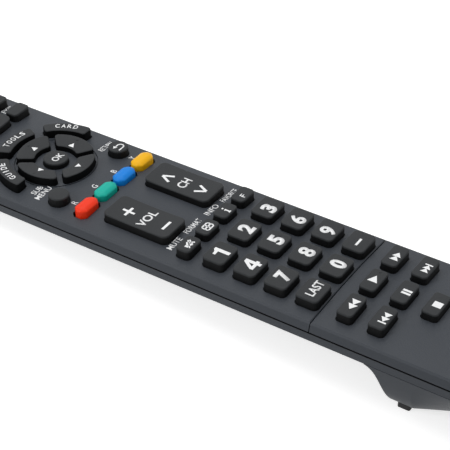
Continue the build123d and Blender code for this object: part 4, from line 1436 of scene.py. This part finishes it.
ARC_WORDS = {
    "key_arc_right": (ArcWord("CARD", 26, 17.7),),
    "key_arc_front": (ArcWord("TOOLS", 90, 17.9),),
    "key_arc_left": (ArcWord("GUIDE", 154, 17.7),),
}


@dataclass
class Press:
    """Prints everything that is white on the keys and the case."""

    palette: Palette
    lift: float = 0.012 * MM
    thickness: float = 0.03 * MM
    plate: str = "front_faceplate"

    def print_on(self, name: str, parts: list[Piece], body: str) -> None:
        """Lays flat marks on a cap or the faceplate, gives them their thickness and makes them ride with it.

        Args:
            name: The mark's name.
            parts: Its flat parts.
            body: The body that it rides on.
        """
        on_case = body == "case"
        target = frame["nodes"][self.plate] if on_case else bpy.data.objects[f"cap_{body}"]
        mark = rename(join_pieces(parts), name)
        mark.location.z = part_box(self.plate if on_case else body)[1].z + MM
        bake_place(mark)
        with editing(mark):
            pick(Element.FACES, lambda face: face.normal.z < 0)
            bpy.ops.mesh.flip_normals()
        apply_modifier(
            mark, "SHRINKWRAP", target=target, wrap_method="PROJECT", use_project_z=True,
            use_negative_direction=True, use_positive_direction=False, offset=self.lift,
        )
        apply_modifier(mark, "SOLIDIFY", thickness=self.thickness, offset=1)
        self.palette.dress(mark, "print_white")
        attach(mark, body)
        log.info("mark %s on %s", name, body)

    def print_keys(self, marks: dict[str, tuple[Shape, ...]], about: str = "") -> None:
        """Prints shapes on keys.

        Args:
            marks: The shapes for each key.
            about: The key that they are placed from, if it isn't the one that carries them.
        """
        for node, shapes in marks.items():
            origin = middle_of(about or node)
            self.print_on(f"mark_{node}", [flat for shape in shapes for flat in shape.draw(origin)], node)

    def build(self) -> None:
        """Prints everything."""
        self.print_keys(WORDS)
        for node, word in LABELS:
            self.print_on(f"label_{node}_{word.text.lower()}", word.draw(middle_of(node)), "case")
        self.print_keys(TRANSPORT_SIGNS)
        self.print_keys(PAD_SIGNS, "key_ok")
        self.print_keys(OTHER_SIGNS)
        self.print_keys(ARC_WORDS, "key_ok")


# The case and what it holds


@dataclass
class CaseParts:
    """The CAD pieces whose shape is kept, and the finish that each gets."""

    # The lower case's finish carries the painted shade of the parting gap on its top band
    finishes: dict[str, str] = field(
        default_factory=lambda: {
            "front_faceplate": "case_plastic", "rear_faceplate": "case_plastic", "lower_case": "lower_plastic",
            "battery_cover": "case_plastic", "keypad_mat": "key_rubber", "circuit_board": "board_laminate",
            "board_components": "component_black", "ir_window": "smoked_window", "ir_diode": "clear_epoxy",
            "contact_plates": "nickel", "contact_springs": "nickel", "rubber_feet": "foot_rubber",
            "case_screws": "screw_steel",
        }
    )

    def build(self, palette: Palette) -> None:
        """Gives each kept CAD piece its finish.

        Args:
            palette: Hands out the finishes.
        """
        for node, finish in self.finishes.items():
            palette.dress_node(node, finish)
            log.info("node %s in %s", node, finish)


@dataclass
class Cells:
    """The two dry cells: a steel can in a wrap with a bright band, and the button at the plus end."""

    palette: Palette
    ways: dict[str, int] = field(default_factory=lambda: {"battery_left": 1, "battery_right": -1})
    body: float = 43.5 * MM
    button_radius: float = 1.9 * MM
    wrap_wall: float = 0.12 * MM
    bare: float = 0.7 * MM
    band: float = 12 * MM
    can_soft: float = 0.5 * MM

    def drum(self, name: str, low: float, high: float, radius: float, soft: float, finish: str) -> Piece:
        """Makes one drum of a standing cell.

        Args:
            name: Its name.
            low: The height of its foot.
            high: The height of its top.
            radius: Its radius.
            soft: How far its rims are softened.
            finish: The name of its finish.

        Returns:
            The drum.
        """
        drum = add_disc(name, Vector((0, 0, low)), radius, high - low)
        with editing(drum):
            pick(Element.EDGES, is_level)
            bevel_edges(soft, 3)
        self.palette.dress(drum, finish)
        return drum

    def build(self) -> None:
        """Builds both cells standing up and lays them in the bay, button towards either end."""
        half = self.body / 2
        split = half - self.bare - self.band
        wrap_soft, button_soft = self.wrap_wall / 2, self.can_soft / 2
        for node, way in self.ways.items():
            low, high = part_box(node)
            centre = (low + high) / 2
            radius = (high.x - low.x) / 2
            length = high.y - low.y
            cell = join_pieces([
                self.drum(f"cell_{node}", -half, half, radius - self.wrap_wall, self.can_soft, "nickel"),
                self.drum("button", half - self.can_soft, length - half, self.button_radius, button_soft, "nickel"),
                self.drum("wrap", self.bare - half, split, radius, wrap_soft, "cell_wrap"),
                self.drum("band", split, half - self.bare, radius, wrap_soft, "cell_band"),
            ])
            place = (centre.x, centre.y - way * (length - self.body) / 2, centre.z)
            seat(place_piece(cell, place, (-way * QUARTER, 0, 0)), node, "case")


# The studio


@dataclass
class Studio:
    """The floor, the lamps, the surroundings and the camera."""

    camera_place: tuple[float, float, float] = (-0.29447, -0.18728, 0.28801)
    camera_target: tuple[float, float, float] = (0.001355, 0.003695, 0.0216)
    lens: float = 114.19
    sensor: float = 36.0
    nearest: float = 0.01
    floor_size: float = 6.0
    floor_tone: float = 0.62
    floor_glow: float = 0.72
    world_light: float = 0.45
    front_rest: float = 110.8 * MM
    front_height: float = 9.4 * MM
    foot_front: float = 68.8 * MM

    def add_camera(self) -> None:
        """Adds the camera at the photograph's angle."""
        place, target = Vector(self.camera_place), Vector(self.camera_target)
        bpy.ops.object.camera_add(location=place)
        camera = bpy.context.object
        camera.rotation_euler = (target - place).to_track_quat("-Z", "Y").to_euler()
        camera.data.lens = self.lens
        camera.data.sensor_width = self.sensor
        camera.data.clip_start = self.nearest
        bpy.context.scene.camera = camera

    @staticmethod
    def seen_directly(wiring: Wiring) -> bpy.types.NodeSocket:
        """Tells the rays that show the surroundings from those that only carry light.

        Args:
            wiring: The material or world that asks.

        Returns:
            A value, 1 for camera, glossy and transmission rays and 0 for others.
        """
        path = wiring.add("LightPath", {})
        mirrored = wiring.calc("MAXIMUM", path["Is Camera Ray"], path["Is Glossy Ray"])
        return wiring.calc("MAXIMUM", mirrored, path["Is Transmission Ray"])

    def add_floor(self) -> None:
        """Adds the pale floor, tilted to touch the feet and the front of the underside."""
        slope = math.atan2(self.front_height, self.front_rest + self.foot_front)
        floor = add_piece(
            bpy.ops.mesh.primitive_plane_add, "studio_floor", size=self.floor_size,
            location=(0, -self.foot_front, 0), rotation=(slope, 0, 0),
        )
        bake_place(floor)
        material = bpy.data.materials.new("floor_paint")
        material.use_nodes = True
        wiring = Wiring(material.node_tree)
        wiring.tree.nodes.remove(wiring.tree.nodes["Principled BSDF"])
        matt = wiring.add("BsdfDiffuse", {"Color": (self.floor_tone, self.floor_tone, self.floor_tone, 1)})
        strength = wiring.calc("MULTIPLY", self.seen_directly(wiring), self.floor_glow)
        glow = wiring.add("Emission", {"Color": WHITE, "Strength": strength})
        both = wiring.add("AddShader", {0: matt[0], 1: glow[0]})
        wiring.feed(wiring.tree.nodes["Material Output"], {"Surface": both[0]})
        floor.data.materials.append(material)

    def add_lamp(self, name: str, place: tuple[float, float, float], size: float, power: float) -> None:
        """Adds a soft square lamp that looks at the remote.

        Args:
            name: The lamp's name.
            place: Where it hangs, in metres.
            size: The length of its side.
            power: Its power in watts.
        """
        bpy.ops.object.light_add(type="AREA", location=place)
        lamp = bpy.context.object
        lamp.name = name
        lamp.data.shape = "SQUARE"
        lamp.data.size = size
        lamp.data.energy = power
        lamp.rotation_euler = (-Vector(place)).to_track_quat("-Z", "Y").to_euler()

    def light(self) -> None:
        """Hangs the lamps and sets the pale surroundings."""
        self.add_lamp("lamp_over", (0.15, 0.25, 1.1), size=0.9, power=5.3)
        self.add_lamp("lamp_edge", (-0.62, 0.45, 0.55), size=0.25, power=1.6)
        world = bpy.data.worlds.new("studio_world")
        bpy.context.scene.world = world
        world.use_nodes = True
        wiring = Wiring(world.node_tree)
        strength = wiring.add("MapRange", {
            "Value": self.seen_directly(wiring), "To Min": self.world_light, "To Max": 1.0,
        })
        wiring.feed(wiring.tree.nodes["Background"], {"Color": WHITE, "Strength": strength["Result"]})
        bpy.context.scene.view_settings.view_transform = "Standard"

    def build(self) -> None:
        """Sets up the whole studio."""
        self.add_camera()
        self.add_floor()
        self.light()


def key_groups() -> list[KeyGroup]:
    """Every group of keys, with its sizes.

    Returns:
        The groups, from the rear end to the front end.
    """
    numbers = tuple(f"key_{name}" for name in ("5", *"12346789", "last", "0", "dash"))
    transport = ("key_play", "key_rewind", "key_fast_forward", "key_previous", "key_pause", "key_next", "key_stop")
    return [
        BlockKeys(transport, 1.2 * MM, {"key_play": 3.9 * MM}),
        BlockKeys(numbers, 1.5 * MM, {"key_5": 3.1 * MM}),
        BlockKeys(("key_mute", "key_format", "key_info", "key_favorite"), 1.4 * MM),
        Rockers(),
        ColourKeys(),
        RoundKeys(("key_sub_menu", "key_return"), "round_paint"),
        RoundKeys(("key_ok",), "centre_paint"),
        PadKeys(),
        BlockKeys(("key_exit", "key_menu", "key_power", "key_input"), 1.4 * MM),
        CentreKey(),
    ]


def main() -> None:
    """Builds the looks of the remote round its frame."""
    logging.basicConfig(level=logging.INFO, format="%(name)s: %(message)s")
    palette = Palette()
    Studio().build()
    CaseParts().build(palette)
    Cells(palette).build()
    maker = CapMaker(palette)
    for group in key_groups():
        group.build(maker)
    Press(palette).build()


if __name__ == "__main__":
    main()
